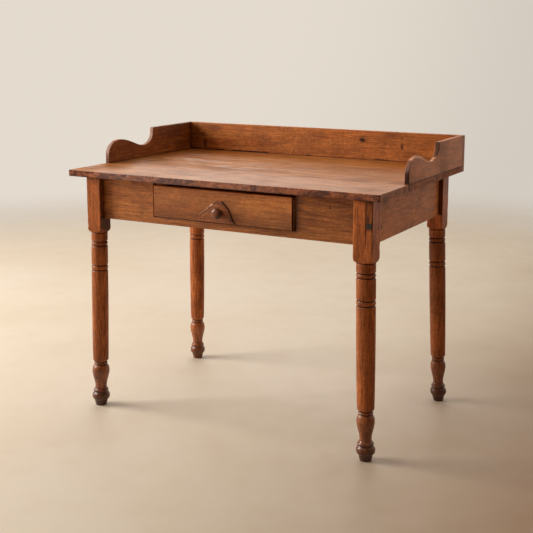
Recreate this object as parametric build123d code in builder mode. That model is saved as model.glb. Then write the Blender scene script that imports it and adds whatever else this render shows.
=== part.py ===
from build123d import *
import os
from math import sin, cos, radians, hypot, sqrt

os.makedirs("parts", exist_ok=True)

# ---------------------------------------------------------------------------
# Country pine writing table with a scroll-ended gallery and one drawer.
# Millimetres, +Z up, +X to the right, -Y to the front.
# Origin: on the floor, under the middle of the table's outline.
# ---------------------------------------------------------------------------

# --- overall ---
TOP_W = 1020.0          # top, side to side
TOP_D = 682.0           # top with the gallery's back board, front to back
WORK_H = 745.0          # working surface above the floor
TOP_T = 19.0            # top boards
GAL_H = 95.0            # gallery above the working surface
GAL_T = 14.0            # gallery end boards
BACK_T = 17.0           # gallery back board

X0, X1 = -TOP_W / 2, TOP_W / 2
Y0, Y1 = -TOP_D / 2, TOP_D / 2
UNDER = WORK_H - TOP_T  # underside of the top, and top of the posts
YB = Y1 - BACK_T        # back edge of the top boards
GAL_YL, GAL_YR = -155.5, -135.8     # front ends of the gallery's left and right boards
SEAM1L, SEAM1R = -156.0, -136.0     # front seam of the top at its left and right ends: the front board tapers
SEAM2 = 86.0                        # rear seam of the top

# --- legs ---
# Each leg was sawn and turned by hand, so no two are quite alike. Posts: x from, to, y from, to;
# then the turning's size against the drawn profile (at the foot, at the post, and of the vase),
# and how far the foot stands off (x, y)
FL = dict(x0=-450.5, x1=-401.0, y0=-330.0, y1=-279.5, turn=(1.06, 0.965, 1.0), lean=(-13.5, 3.0))
FR = dict(x0=430.0, x1=486.0, y0=-330.0, y1=-275.5, turn=(1.04, 1.04, 0.945), lean=(7.0, 2.0))
BL = dict(x0=-451.0, x1=-399.0, y0=220.0, y1=272.0, turn=(1.0, 1.0, 1.0), lean=(-3.0, 0.0))
BR = dict(x0=435.0, x1=485.5, y0=220.0, y1=270.5, turn=(0.985, 0.985, 0.935), lean=(20.5, -1.0))
POST_Z = 556.0          # where the square post meets the turning
SHOULDER = 14.0         # height of the rounded shoulder cut by the lathe

# --- aprons ---
APR_T = 20.0
APR_Z = 600.0           # lower edge of the aprons
SET_F = 21.0            # front apron set back from the posts' front faces
SET_S = 15.0            # side and back aprons set back
TEN_T = 10.0            # tenon thickness
TEN_F = 19.0            # length of the front and back aprons' tenons
TEN_S = 24.0            # length of the side aprons' tenons
TEN_LO, TEN_HI = 612.0, 706.0   # tenon from and to, a haunch left above

AFY = FL["y0"] + SET_F                  # outer face of the front apron
ABY = BL["y1"] - SET_S                  # outer face of the back apron
ALX = BL["x0"] - 2.0 + SET_S            # outer face of the left apron
ARX = BR["x1"] + 1.5 - SET_S            # outer face of the right apron

# --- drawer opening ---
OPX0, OPX1 = -221.0, 251.0
OPZ = 620.5             # top of the rail under the drawer

# --- drawer, standing a little askew: left end flush, right end proud ---
RACK = 0.87             # degrees
DR_W = 461.0
DR_H = 92.0
DR_Z = 621.5
DR_FT = 20.0            # front
DR_ST = 12.0            # sides and back
DR_L = 380.0            # front face to back
DR_SH = 88.0            # side height
DR_X, DR_Y = -219.0, AFY
BOT_Z, BOT_T = 629.0, 8.0
GROOVE = 6.0
DRW = Plane(origin=(DR_X, DR_Y, 0),
            x_dir=(cos(radians(RACK)), -sin(radians(RACK)), 0), z_dir=(0, 0, 1))
# upright plane on the drawer front's face, its normal towards the user
FACE = Plane(origin=(DR_X, DR_Y, 0),
             x_dir=(cos(radians(RACK)), -sin(radians(RACK)), 0),
             z_dir=(-sin(radians(RACK)), -cos(radians(RACK)), 0))

# --- knob and plate, measured along the drawer front from its left end ---
KN_U, KN_Z = 229.0, 652.0
KN_R = 16.5
PLATE_T = 3.0

# --- runners ---
RUN_W = 40.0
RUN_XL, RUN_XR = -235.0, 229.0          # left edges of the two runners
HOUSE = 6.0                             # runner ends housed in the aprons
GUIDE_T, GUIDE_H = 12.0, 24.0
KICK_T = 10.0


# ---------------------------------------------------------------------------
# Legs
# ---------------------------------------------------------------------------
def turned_profile(turn):
    """Half outline of the turning: radius along local x, height along local y. turn sizes the radii.
    It starts under the floor's level, where the foot is cut off flat."""
    low, high, vase = turn

    def r(radius, z):
        return radius * (low + (high - low) * z / POST_Z)

    def v(radius, z):
        return r(radius, z) * vase

    def pts(*pairs):
        return [(r(q, z), z) for q, z in pairs]

    with BuildLine() as ln:
        Polyline((0, -2.0), *pts((14.8, -2.0), (16.2, 1.2)))
        Line(*pts((16.2, 1.2), (19.8, 16.6)))
        Line(*pts((19.8, 16.6), (21.3, 18.6)))
        Spline(*pts((21.3, 18.6), (24.9, 24.0), (26.0, 31.0), (24.4, 38.0), (20.8, 42.6)))
        Polyline(*pts((20.8, 42.6), (20.2, 43.8), (21.2, 44.8)))
        Spline(*pts((21.2, 44.8), (22.3, 47.6), (21.6, 51.2), (18.8, 54.0)))
        Spline(*pts((18.8, 54.0)), *[(v(q, z), z) for q, z in ((17.4, 60.0), (17.8, 70.0), (20.4, 83.0), (23.9, 97.0),
               (25.9, 110.0), (25.5, 119.0), (23.2, 126.8))], *pts((19.8, 131.4)))
        Polyline(*pts((19.8, 131.4), (18.6, 133.0), (19.0, 134.6)))
        Spline(*pts((19.0, 134.6), (20.6, 137.4), (19.0, 140.4)))
        Polyline(*pts((19.0, 140.4), (18.4, 142.4), (19.6, 144.2), (22.6, 147.0), (23.4, 149.4)))
        Spline(*pts((23.4, 149.4), (24.4, 200.0), (25.1, 262.0), (25.7, 340.0), (25.9, 428.0)))
        Polyline(*pts((25.9, 428.0), (25.7, 434.6), (23.4, 437.2), (24.2, 439.0)))
        Spline(*pts((24.2, 439.0), (26.0, 445.0), (24.2, 451.0)))
        Polyline(*pts((24.2, 451.0), (23.4, 452.8), (25.7, 455.4), (26.0, 458.0), (26.0, 508.0),
                      (25.8, 511.6), (23.4, 514.2), (24.2, 516.0)))
        Spline(*pts((24.2, 516.0), (26.0, 520.7), (24.2, 525.4)))
        Polyline(*pts((24.2, 525.4), (23.4, 527.2), (25.8, 529.8), (26.0, 532.0), (26.0, 554.4),
                      (25.2, 555.6), (25.2, POST_Z + 1.6)), (0, POST_Z + 1.6), (0, -2.0))
    return ln


def shoulder_profile(k):
    """Half outline that rounds the post's lower corners, wider than the post above."""
    with BuildLine() as ln:
        Polyline((0, POST_Z), (26.2 * k, POST_Z))
        Spline((26.2 * k, POST_Z), (31.6 * k, POST_Z + 3.4), (35.2 * k, POST_Z + 8.2), (37.2 * k, POST_Z + SHOULDER))
        Polyline((37.2 * k, POST_Z + SHOULDER), (45 * k, POST_Z + SHOULDER + 6), (45 * k, UNDER + 5),
                 (0, UNDER + 5), (0, POST_Z))
    return ln


# tenon centre planes
TFY = AFY + APR_T / 2
TBY = ABY - APR_T / 2
TLX = ALX + APR_T / 2
TRX = ARX - APR_T / 2


def leg_solid(leg_of, sx, sy, tx, ty, plug=False):
    """A leg; sx, sy point to the table's middle; tx, ty are the tenons' centre lines."""
    x0, x1, y0, y1 = leg_of["x0"], leg_of["x1"], leg_of["y0"], leg_of["y1"]
    lx, ly = leg_of["lean"]
    cx, cy = (x0 + x1) / 2, (y0 + y1) / 2
    xin, yin = (x1 if sx > 0 else x0), (y1 if sy > 0 else y0)
    half = hypot((x1 - x0) / 2, (y1 - y0) / 2)
    axis_plane = Plane(origin=(cx, cy, 0), x_dir=(1, 0, 0), z_dir=(0, -1, 0))
    # the turning's axis leans from the middle of the post's end
    run = sqrt(lx * lx + ly * ly + POST_Z * POST_Z)
    up = Vector(-lx / run, -ly / run, POST_Z / run)
    across = Vector(up.Z, 0, -up.X).normalized()
    foot = Vector(cx, cy, POST_Z) - up * POST_Z
    turn_plane = Plane(origin=foot, x_dir=across, z_dir=across.cross(up))
    with BuildPart() as leg:
        # square post, its edges barely eased
        with BuildSketch(Plane.XY.offset(POST_Z)):
            with Locations((cx, cy)):
                RectangleRounded(x1 - x0, y1 - y0, 1.2)
        extrude(amount=UNDER - POST_Z)
        # the lathe's rounded shoulder
        with BuildSketch(axis_plane):
            with BuildLine():
                add(shoulder_profile(half / 36.77).line)
            make_face()
        revolve(axis=Axis((cx, cy, 0), (0, 0, 1)), revolution_arc=360, mode=Mode.INTERSECT)
        # turned leg
        with BuildSketch(turn_plane):
            with BuildLine():
                add(turned_profile(leg_of["turn"]).line)
            make_face()
        revolve(axis=Axis(foot, up), revolution_arc=360)
        # foot cut level with the floor
        with BuildSketch(Plane.XY):
            with Locations((cx + lx, cy + ly)):
                Rectangle(80, 80)
        extrude(amount=-10, mode=Mode.SUBTRACT)
        # mortises
        with BuildSketch(Plane.XY.offset(TEN_LO)):
            with Locations((xin + sx * (-TEN_F / 2 - 0.25 + 1), ty)):
                Rectangle(TEN_F + 2.5, TEN_T)
            with Locations((tx, yin + sy * (-TEN_S / 2 - 0.25 + 1))):
                Rectangle(TEN_T, TEN_S + 2.5)
        extrude(amount=TEN_HI - TEN_LO, mode=Mode.SUBTRACT)
        if plug:
            with BuildSketch(Plane(origin=(PLUG_X, y0, PLUG_Z), x_dir=(1, 0, 0), z_dir=(0, -1, 0))):
                Rectangle(15.0, 15.0)
            extrude(amount=-9.0, mode=Mode.SUBTRACT)
    return leg


PLUG_X, PLUG_Z = 476.5, 658.0       # middle of the square plug in the front right post

leg_front_left = leg_solid(FL, 1, 1, TLX, TFY)
leg_front_left.part.label = "leg_front_left"
export_step(leg_front_left.part, "parts/leg_front_left.step")

leg_front_right = leg_solid(FR, -1, 1, TRX, TFY, plug=True)
leg_front_right.part.label = "leg_front_right"
export_step(leg_front_right.part, "parts/leg_front_right.step")

leg_back_left = leg_solid(BL, 1, -1, TLX, TBY)
leg_back_left.part.label = "leg_back_left"
export_step(leg_back_left.part, "parts/leg_back_left.step")

leg_back_right = leg_solid(BR, -1, -1, TRX, TBY)
leg_back_right.part.label = "leg_back_right"
export_step(leg_back_right.part, "parts/leg_back_right.step")

# square plug in the front right post, standing a hair proud
with BuildPart() as post_plug:
    with BuildSketch(Plane(origin=(PLUG_X, FR["y0"], PLUG_Z), x_dir=(1, 0, 0), z_dir=(0, -1, 0)).offset(-9.0)):
        Rectangle(15.0, 15.0)
    extrude(amount=9.6)
    chamfer(post_plug.faces().sort_by(Axis.Y)[0].edges(), 0.5)
post_plug.part.label = "post_plug"
export_step(post_plug.part, "parts/post_plug.step")


# ---------------------------------------------------------------------------
# Aprons
# ---------------------------------------------------------------------------
with BuildPart() as apron_front:
    with BuildSketch(Plane.XY.offset(APR_Z)):
        with Locations(((FL["x1"] + FR["x0"]) / 2, TFY)):
            Rectangle(FR["x0"] - FL["x1"], APR_T)
    extrude(amount=UNDER - APR_Z)
    # tenons
    with BuildSketch(Plane.XY.offset(TEN_LO)):
        with Locations(((FL["x1"] + FR["x0"]) / 2, TFY)):
            Rectangle(FR["x0"] - FL["x1"] + 2 * TEN_F, TEN_T)
    extrude(amount=TEN_HI - TEN_LO)
    # drawer opening, sawn down from the top edge
    with BuildSketch(Plane.XY.offset(OPZ)):
        with Locations(((OPX0 + OPX1) / 2, TFY)):
            Rectangle(OPX1 - OPX0, APR_T + 4)
    extrude(amount=UNDER - OPZ + 2, mode=Mode.SUBTRACT)
    # housings for the front ends of the runners
    with BuildSketch(Plane.XY.offset(APR_Z - 1)):
        with Locations((RUN_XL + RUN_W / 2, AFY + APR_T - HOUSE / 2 + 1), (RUN_XR + RUN_W / 2, AFY + APR_T - HOUSE / 2 + 1)):
            Rectangle(RUN_W, HOUSE + 2)
    extrude(amount=OPZ - APR_Z + 1, mode=Mode.SUBTRACT)
    chamfer(apron_front.edges().filter_by(Axis.X).group_by(Axis.Z)[0].group_by(Axis.Y)[0], 1.0)
apron_front.part.label = "apron_front"
export_step(apron_front.part, "parts/apron_front.step")

with BuildPart() as apron_back:
    with BuildSketch(Plane.XY.offset(APR_Z)):
        with Locations(((BL["x1"] + BR["x0"]) / 2, TBY)):
            Rectangle(BR["x0"] - BL["x1"], APR_T)
    extrude(amount=UNDER - APR_Z)
    with BuildSketch(Plane.XY.offset(TEN_LO)):
        with Locations(((BL["x1"] + BR["x0"]) / 2, TBY)):
            Rectangle(BR["x0"] - BL["x1"] + 2 * TEN_F, TEN_T)
    extrude(amount=TEN_HI - TEN_LO)
    # housings for the rear ends of the runners
    with BuildSketch(Plane.XY.offset(APR_Z - 1)):
        with Locations((RUN_XL + RUN_W / 2, ABY - APR_T + HOUSE / 2 - 1), (RUN_XR + RUN_W / 2, ABY - APR_T + HOUSE / 2 - 1)):
            Rectangle(RUN_W, HOUSE + 2)
    extrude(amount=OPZ - APR_Z + 1, mode=Mode.SUBTRACT)
    chamfer(apron_back.edges().filter_by(Axis.X).group_by(Axis.Z)[0].group_by(Axis.Y)[-1], 1.0)
apron_back.part.label = "apron_back"
export_step(apron_back.part, "parts/apron_back.step")

with BuildPart() as apron_left:
    with BuildSketch(Plane.XY.offset(APR_Z)):
        with Locations((TLX, (FL["y1"] + BL["y0"]) / 2)):
            Rectangle(APR_T, BL["y0"] - FL["y1"])
    extrude(amount=UNDER - APR_Z)
    with BuildSketch(Plane.XY.offset(TEN_LO)):
        with Locations((TLX, (FL["y1"] + BL["y0"]) / 2)):
            Rectangle(TEN_T, BL["y0"] - FL["y1"] + 2 * TEN_S)
    extrude(amount=TEN_HI - TEN_LO)
    chamfer(apron_left.edges().filter_by(Axis.Y).group_by(Axis.Z)[0].group_by(Axis.X)[0], 1.0)
apron_left.part.label = "apron_left"
export_step(apron_left.part, "parts/apron_left.step")

with BuildPart() as apron_right:
    with BuildSketch(Plane.XY.offset(APR_Z)):
        with Locations((TRX, (FR["y1"] + BR["y0"]) / 2)):
            Rectangle(APR_T, BR["y0"] - FR["y1"])
    extrude(amount=UNDER - APR_Z)
    with BuildSketch(Plane.XY.offset(TEN_LO)):
        with Locations((TRX, (FR["y1"] + BR["y0"]) / 2)):
            Rectangle(TEN_T, BR["y0"] - FR["y1"] + 2 * TEN_S)
    extrude(amount=TEN_HI - TEN_LO)
    chamfer(apron_right.edges().filter_by(Axis.Y).group_by(Axis.Z)[0].group_by(Axis.X)[-1], 1.0)
apron_right.part.label = "apron_right"
export_step(apron_right.part, "parts/apron_right.step")


# ---------------------------------------------------------------------------
# Top: three edge-jointed boards
# ---------------------------------------------------------------------------
NAIL_R = 1.6            # cut nail shank
NAIL_GAP = 0.1          # air round a shank
HEAD_R, HEAD_H = 3.4, 1.4
NAIL_L = 44.0
# back board nails: (x, z), driven forward from the back face
NAILS_TOP = [(-380.0, 735.5), (-190.0, 735.5), (0.0, 735.5), (190.0, 735.5), (380.0, 735.5)]
NAILS_END = [(X0 + GAL_T / 2, 765.0), (X0 + GAL_T / 2, 792.0), (X0 + GAL_T / 2, 820.0),
             (X1 - GAL_T / 2, 765.0), (X1 - GAL_T / 2, 792.0), (X1 - GAL_T / 2, 820.0)]
REAR = Plane(origin=(0, Y1, 0), x_dir=(1, 0, 0), z_dir=(0, -1, 0))     # looking forward from the back face

with BuildPart() as top_board_front:
    with BuildSketch(Plane.XY.offset(UNDER)):
        with BuildLine():
            Polyline((X0, Y0), (X1, Y0), (X1, SEAM1R), (X0, SEAM1L), close=True)
        make_face()
    extrude(amount=TOP_T)
    fillet(top_board_front.edges().filter_by(Axis.Z).group_by(Axis.Y)[0], 5.0)
    fillet(top_board_front.faces().sort_by(Axis.Y)[0].edges().filter_by(Axis.X).sort_by(Axis.Z)[-1], 2.5)
    fillet(top_board_front.faces().sort_by(Axis.Y)[0].edges().filter_by(Axis.X).sort_by(Axis.Z)[0], 2.5)
top_board_front.part.label = "top_board_front"
export_step(top_board_front.part, "parts/top_board_front.step")

with BuildPart() as top_board_middle:
    with BuildSketch(Plane.XY.offset(UNDER)):
        with BuildLine():
            Polyline((X0, SEAM1L), (X1, SEAM1R), (X1, SEAM2), (X0, SEAM2), close=True)
        make_face()
    extrude(amount=TOP_T)
top_board_middle.part.label = "top_board_middle"
export_step(top_board_middle.part, "parts/top_board_middle.step")

with BuildPart() as top_board_rear:
    with BuildSketch(Plane.XY.offset(UNDER)):
        with Locations((0, (SEAM2 + YB) / 2)):
            Rectangle(TOP_W, YB - SEAM2)
    extrude(amount=TOP_T)
    # nail holes in the back edge
    with BuildSketch(REAR):
        with Locations(*NAILS_TOP):
            Circle(NAIL_R + NAIL_GAP)
    extrude(amount=NAIL_L + 0.2, mode=Mode.SUBTRACT)
top_board_rear.part.label = "top_board_rear"
export_step(top_board_rear.part, "parts/top_board_rear.step")


# ---------------------------------------------------------------------------
# Gallery
# ---------------------------------------------------------------------------
with BuildPart() as gallery_back:
    with BuildSketch(Plane.XY.offset(UNDER)):
        with Locations((0, (YB + Y1) / 2)):
            Rectangle(TOP_W, BACK_T)
    extrude(amount=WORK_H + GAL_H - UNDER)
    fillet(gallery_back.edges().filter_by(Axis.X).group_by(Axis.Z)[-1], 2.0)
    with BuildSketch(REAR.offset(-1)):
        with Locations(*NAILS_TOP, *NAILS_END):
            Circle(NAIL_R + NAIL_GAP)
    extrude(amount=BACK_T + 2, mode=Mode.SUBTRACT)
    with BuildSketch(REAR.offset(-1)):
        with Locations(*NAILS_TOP, *NAILS_END):
            Circle(HEAD_R + NAIL_GAP)
    extrude(amount=1 + HEAD_H + 0.05, mode=Mode.SUBTRACT)
gallery_back.part.label = "gallery_back"
export_step(gallery_back.part, "parts/gallery_back.step")


# scroll outlines: distance back from the end board's front, height above the top. The right board's
# was sawn with the saw held at a slant, so its inner and outer outlines differ
SCROLL_L = [(0, 31.0), (5.5, 45.5), (16.0, 56.5), (31.0, 65.3), (47.5, 70.0), (64.0, 70.8), (80.5, 69.2), (97.0, 65.8), (117.0, 60.2),
            (137.0, 53.6), (157.0, 47.2), (174.5, 43.0), (192.0, 41.2), (209.5, 43.0), (224.0, 48.0), (236.0, 57.5), (242.3, 69.0), (245.0, 86.0)]
SCROLL_RI = [(0, 28.0), (4.0, 39.5), (11.5, 50.5), (22.0, 60.5), (37.0, 68.0), (56.0, 71.8), (78.0, 72.4), (102.0, 70.0), (126.0, 65.2),
             (146.0, 58.8), (163.0, 52.0), (180.0, 46.4), (197.0, 44.4), (212.0, 48.6), (225.5, 57.6), (236.0, 71.5), (241.4, 87.0)]
SCROLL_RO = [(0, 36.0), (2.6, 46.0), (8.0, 54.5), (17.0, 62.0), (30.0, 67.0), (46.0, 68.2), (64.0, 66.8), (84.0, 62.8), (104.0, 58.0),
             (127.0, 52.2), (150.0, 47.2), (174.0, 44.8), (196.0, 46.6), (214.0, 52.0), (227.5, 61.2), (236.5, 74.0), (241.8, 87.0)]


def gallery_end(x_low, y, low_side, high_side):
    """Scroll-cut end board from x_low to x_low + GAL_T, standing on the top; the outline on each side."""
    z = WORK_H
    with BuildPart() as end:
        for x, scroll in ((x_low, low_side), (x_low + GAL_T, high_side)):
            points = [(y + a, z + b) for a, b in scroll]
            last = scroll[-1][0]
            with BuildSketch(Plane(origin=(x, 0, 0), x_dir=(0, 1, 0), z_dir=(1, 0, 0))):
                with BuildLine():
                    Line((y, z), points[0])
                    Spline(*points, tangents=[(0, 1), (0.06, 1)])
                    Polyline(points[-1], (y + last + 0.6, z + 92.0), (y + last + 4.0, z + GAL_H),
                             (YB, z + GAL_H), (YB, z), (y, z))
                make_face()
        loft(ruled=True)
        # nail holes in the rear end
        with BuildSketch(REAR):
            with Locations(*[n for n in NAILS_END if x_low < n[0] < x_low + GAL_T]):
                Circle(NAIL_R + NAIL_GAP)
        extrude(amount=NAIL_L + 0.2, mode=Mode.SUBTRACT)
    return end


gallery_left = gallery_end(X0, GAL_YL, SCROLL_L, SCROLL_L)
gallery_left.part.label = "gallery_left"
export_step(gallery_left.part, "parts/gallery_left.step")

gallery_right = gallery_end(X1 - GAL_T, GAL_YR, SCROLL_RI, SCROLL_RO)
gallery_right.part.label = "gallery_right"
export_step(gallery_right.part, "parts/gallery_right.step")

with BuildPart() as gallery_nails:
    with BuildSketch(REAR.offset(HEAD_H)):
        with Locations(*NAILS_TOP, *NAILS_END):
            Circle(NAIL_R)
    extrude(amount=NAIL_L - HEAD_H)
    with BuildSketch(REAR):
        with Locations(*NAILS_TOP, *NAILS_END):
            Circle(HEAD_R)
    extrude(amount=HEAD_H)
gallery_nails.part.label = "gallery_nails"
export_step(gallery_nails.part, "parts/gallery_nails.step")


# ---------------------------------------------------------------------------
# Drawer carcase in the table: runners, guides, kickers, stops
# ---------------------------------------------------------------------------
def strip(x_low, width, y_low, y_high, z_low, height):
    """Plain rectangular strip running front to back."""
    with BuildPart() as s:
        with BuildSketch(Plane.XY.offset(z_low)):
            with Locations((x_low + width / 2, (y_low + y_high) / 2)):
                Rectangle(width, y_high - y_low)
        extrude(amount=height)
    return s


RY0, RY1 = AFY + APR_T - HOUSE, ABY - APR_T + HOUSE
drawer_runner_left = strip(RUN_XL, RUN_W, RY0, RY1, APR_Z, OPZ - APR_Z)
drawer_runner_left.part.label = "drawer_runner_left"
export_step(drawer_runner_left.part, "parts/drawer_runner_left.step")

drawer_runner_right = strip(RUN_XR, RUN_W, RY0, RY1, APR_Z, OPZ - APR_Z)
drawer_runner_right.part.label = "drawer_runner_right"
export_step(drawer_runner_right.part, "parts/drawer_runner_right.step")

GY0, GY1 = AFY + APR_T, ABY - APR_T
drawer_guide_left = strip(OPX0 - GUIDE_T, GUIDE_T, GY0, GY1, OPZ, GUIDE_H)
drawer_guide_left.part.label = "drawer_guide_left"
export_step(drawer_guide_left.part, "parts/drawer_guide_left.step")

drawer_guide_right = strip(OPX1 + 4.0, GUIDE_T, GY0, GY1, OPZ, GUIDE_H)
drawer_guide_right.part.label = "drawer_guide_right"
export_step(drawer_guide_right.part, "parts/drawer_guide_right.step")

drawer_kicker_left = strip(OPX0, 26.0, GY0 + 2, GY1 - 2, UNDER - KICK_T, KICK_T)
drawer_kicker_left.part.label = "drawer_kicker_left"
export_step(drawer_kicker_left.part, "parts/drawer_kicker_left.step")

drawer_kicker_right = strip(OPX1 - 22.0, 26.0, GY0 + 2, GY1 - 2, UNDER - KICK_T, KICK_T)
drawer_kicker_right.part.label = "drawer_kicker_right"
export_step(drawer_kicker_right.part, "parts/drawer_kicker_right.step")

STOP_Y = DR_Y + DR_L + 2.0
drawer_stop_left = strip(OPX0, 26.0, STOP_Y, STOP_Y + 25, OPZ, 22.0)
drawer_stop_left.part.label = "drawer_stop_left"
export_step(drawer_stop_left.part, "parts/drawer_stop_left.step")

drawer_stop_right = strip(RUN_XR, 26.0, STOP_Y, STOP_Y + 25, OPZ, 22.0)
drawer_stop_right.part.label = "drawer_stop_right"
export_step(drawer_stop_right.part, "parts/drawer_stop_right.step")

# rubbed blocks between the aprons and the top
BLK, BLK_L = 24.0, 70.0
blocks_x = [(-330.0, AFY + APR_T + BLK / 2), (355.0, AFY + APR_T + BLK / 2),
            (-300.0, ABY - APR_T - BLK / 2), (17.0, ABY - APR_T - BLK / 2), (335.0, ABY - APR_T - BLK / 2)]
blocks_y = [(ALX + APR_T + BLK / 2, -160.0), (ALX + APR_T + BLK / 2, 110.0),
            (ARX - APR_T - BLK / 2, -160.0), (ARX - APR_T - BLK / 2, 110.0)]
with BuildPart() as top_glue_blocks:
    with BuildSketch(Plane.XY.offset(UNDER - BLK)):
        with Locations(*blocks_x):
            Rectangle(BLK_L, BLK)
        with Locations(*blocks_y):
            Rectangle(BLK, BLK_L)
    extrude(amount=BLK)
top_glue_blocks.part.label = "top_glue_blocks"
export_step(top_glue_blocks.part, "parts/top_glue_blocks.step")


# ---------------------------------------------------------------------------
# Drawer: local u along the front from its left end, v back from the face
# ---------------------------------------------------------------------------
DN_R, DN_L = 1.2, 30.0
# side nails: (v, z) on each side, into the front's rebated ends and into the back
DN_FRONT = [(12.0, 645.0), (12.0, 668.0), (12.0, 695.0)]
DN_BACK = [(DR_L - DR_ST / 2, 652.0), (DR_L - DR_ST / 2, 684.0)]
REBATE = 12.0           # front's ends cut back this deep for the sides
TONGUE = 8.0            # thickness of the front left covering the sides' ends
SIDE_L = Plane(origin=DRW.from_local_coords((0, 0, 0)), x_dir=DRW.y_dir, z_dir=DRW.x_dir)
SIDE_R = Plane(origin=DRW.from_local_coords((DR_W, 0, 0)), x_dir=DRW.y_dir, z_dir=DRW.x_dir)

with BuildPart() as drawer_front:
    with BuildSketch(DRW.offset(DR_Z)):
        with BuildLine():
            Polyline((0, 0), (DR_W, 0), (DR_W, TONGUE), (DR_W - REBATE, TONGUE), (DR_W - REBATE, DR_FT),
                     (REBATE, DR_FT), (REBATE, TONGUE), (0, TONGUE), (0, 0))
        make_face()
    extrude(amount=DR_H)
    # groove for the bottom
    with BuildSketch(DRW.offset(BOT_Z)):
        with Locations((DR_W / 2, DR_FT - GROOVE / 2 + 1)):
            Rectangle(DR_W - 2 * REBATE + 2 * GROOVE, GROOVE + 2)
    extrude(amount=BOT_T, mode=Mode.SUBTRACT)
    # hole for the knob's spigot
    with BuildSketch(FACE.offset(1)):
        with Locations((KN_U, KN_Z)):
            Circle(6.1)
    extrude(amount=-(DR_FT + 2), mode=Mode.SUBTRACT)
    # holes for the side nails
    with BuildSketch(SIDE_L):
        with Locations(*DN_FRONT):
            Circle(DN_R + NAIL_GAP)
    extrude(amount=DN_L + 0.2, mode=Mode.SUBTRACT)
    with BuildSketch(SIDE_R):
        with Locations(*DN_FRONT):
            Circle(DN_R + NAIL_GAP)
    extrude(amount=-(DN_L + 0.2), mode=Mode.SUBTRACT)
    # holes for the plate's pins
    with BuildSketch(FACE.offset(1)):
        with Locations((KN_U - 52, 631.5), (KN_U + 38, 631.5), (KN_U - 3.5, 680.0)):
            Circle(0.8)
    extrude(amount=-9.2, mode=Mode.SUBTRACT)
drawer_front.part.label = "drawer_front"
export_step(drawer_front.part, "parts/drawer_front.step")


def drawer_side(u_low, u_groove, plane, sign):
    with BuildPart() as side:
        with BuildSketch(DRW.offset(DR_Z)):
            with Locations((u_low + DR_ST / 2, (TONGUE + DR_L) / 2)):
                Rectangle(DR_ST, DR_L - TONGUE)
        extrude(amount=DR_SH)
        # groove for the bottom
        with BuildSketch(DRW.offset(BOT_Z)):
            with Locations((u_groove, (TONGUE + DR_L) / 2)):
                Rectangle(GROOVE, DR_L - TONGUE + 2)
        extrude(amount=BOT_T, mode=Mode.SUBTRACT)
        with BuildSketch(plane):
            with Locations(*DN_FRONT, *DN_BACK):
                Circle(DN_R + NAIL_GAP)
        extrude(amount=sign * (DR_ST + 1), mode=Mode.SUBTRACT)
    return side


drawer_side_left = drawer_side(0, DR_ST - GROOVE / 2, SIDE_L, 1)
drawer_side_left.part.label = "drawer_side_left"
export_step(drawer_side_left.part, "parts/drawer_side_left.step")

drawer_side_right = drawer_side(DR_W - DR_ST, DR_W - DR_ST + GROOVE / 2, SIDE_R, -1)
drawer_side_right.part.label = "drawer_side_right"
export_step(drawer_side_right.part, "parts/drawer_side_right.step")

with BuildPart() as drawer_back:
    with BuildSketch(DRW.offset(BOT_Z + BOT_T)):
        with Locations((DR_W / 2, DR_L - DR_ST / 2)):
            Rectangle(DR_W - 2 * DR_ST, DR_ST)
    extrude(amount=DR_Z + DR_SH - 4 - BOT_Z - BOT_T)
    with BuildSketch(SIDE_L):
        with Locations(*DN_BACK):
            Circle(DN_R + NAIL_GAP)
    extrude(amount=DN_L + 0.2, mode=Mode.SUBTRACT)
    with BuildSketch(SIDE_R):
        with Locations(*DN_BACK):
            Circle(DN_R + NAIL_GAP)
    extrude(amount=-(DN_L + 0.2), mode=Mode.SUBTRACT)
    # holes for the bottom's nails
    with BuildSketch(DRW.offset(BOT_Z + BOT_T - 1)):
        with Locations((90, DR_L - DR_ST / 2), (DR_W / 2, DR_L - DR_ST / 2), (DR_W - 90, DR_L - DR_ST / 2)):
            Circle(DN_R + NAIL_GAP)
    extrude(amount=16.2, mode=Mode.SUBTRACT)
drawer_back.part.label = "drawer_back"
export_step(drawer_back.part, "parts/drawer_back.step")

with BuildPart() as drawer_bottom:
    with BuildSketch(DRW.offset(BOT_Z)):
        with Locations((DR_W / 2, (DR_FT - GROOVE + DR_L) / 2)):
            Rectangle(DR_W - 2 * DR_ST + 2 * GROOVE, DR_L - DR_FT + GROOVE)
    extrude(amount=BOT_T)
    with BuildSketch(DRW.offset(BOT_Z - 1)):
        with Locations((90, DR_L - DR_ST / 2), (DR_W / 2, DR_L - DR_ST / 2), (DR_W - 90, DR_L - DR_ST / 2)):
            Circle(DN_R + NAIL_GAP)
    extrude(amount=BOT_T + 2, mode=Mode.SUBTRACT)
    with BuildSketch(DRW.offset(BOT_Z - 1)):
        with Locations((90, DR_L - DR_ST / 2), (DR_W / 2, DR_L - DR_ST / 2), (DR_W - 90, DR_L - DR_ST / 2)):
            Circle(2.6 + NAIL_GAP)
    extrude(amount=1 + 1.05, mode=Mode.SUBTRACT)
drawer_bottom.part.label = "drawer_bottom"
export_step(drawer_bottom.part, "parts/drawer_bottom.step")

with BuildPart() as drawer_bottom_nails:
    with BuildSketch(DRW.offset(BOT_Z)):
        with Locations((90, DR_L - DR_ST / 2), (DR_W / 2, DR_L - DR_ST / 2), (DR_W - 90, DR_L - DR_ST / 2)):
            Circle(2.6)
    extrude(amount=1.0)
    with BuildSketch(DRW.offset(BOT_Z + 1.0)):
        with Locations((90, DR_L - DR_ST / 2), (DR_W / 2, DR_L - DR_ST / 2), (DR_W - 90, DR_L - DR_ST / 2)):
            Circle(DN_R)
    extrude(amount=BOT_T - 1.0 + 15.0)
drawer_bottom_nails.part.label = "drawer_bottom_nails"
export_step(drawer_bottom_nails.part, "parts/drawer_bottom_nails.step")

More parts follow.
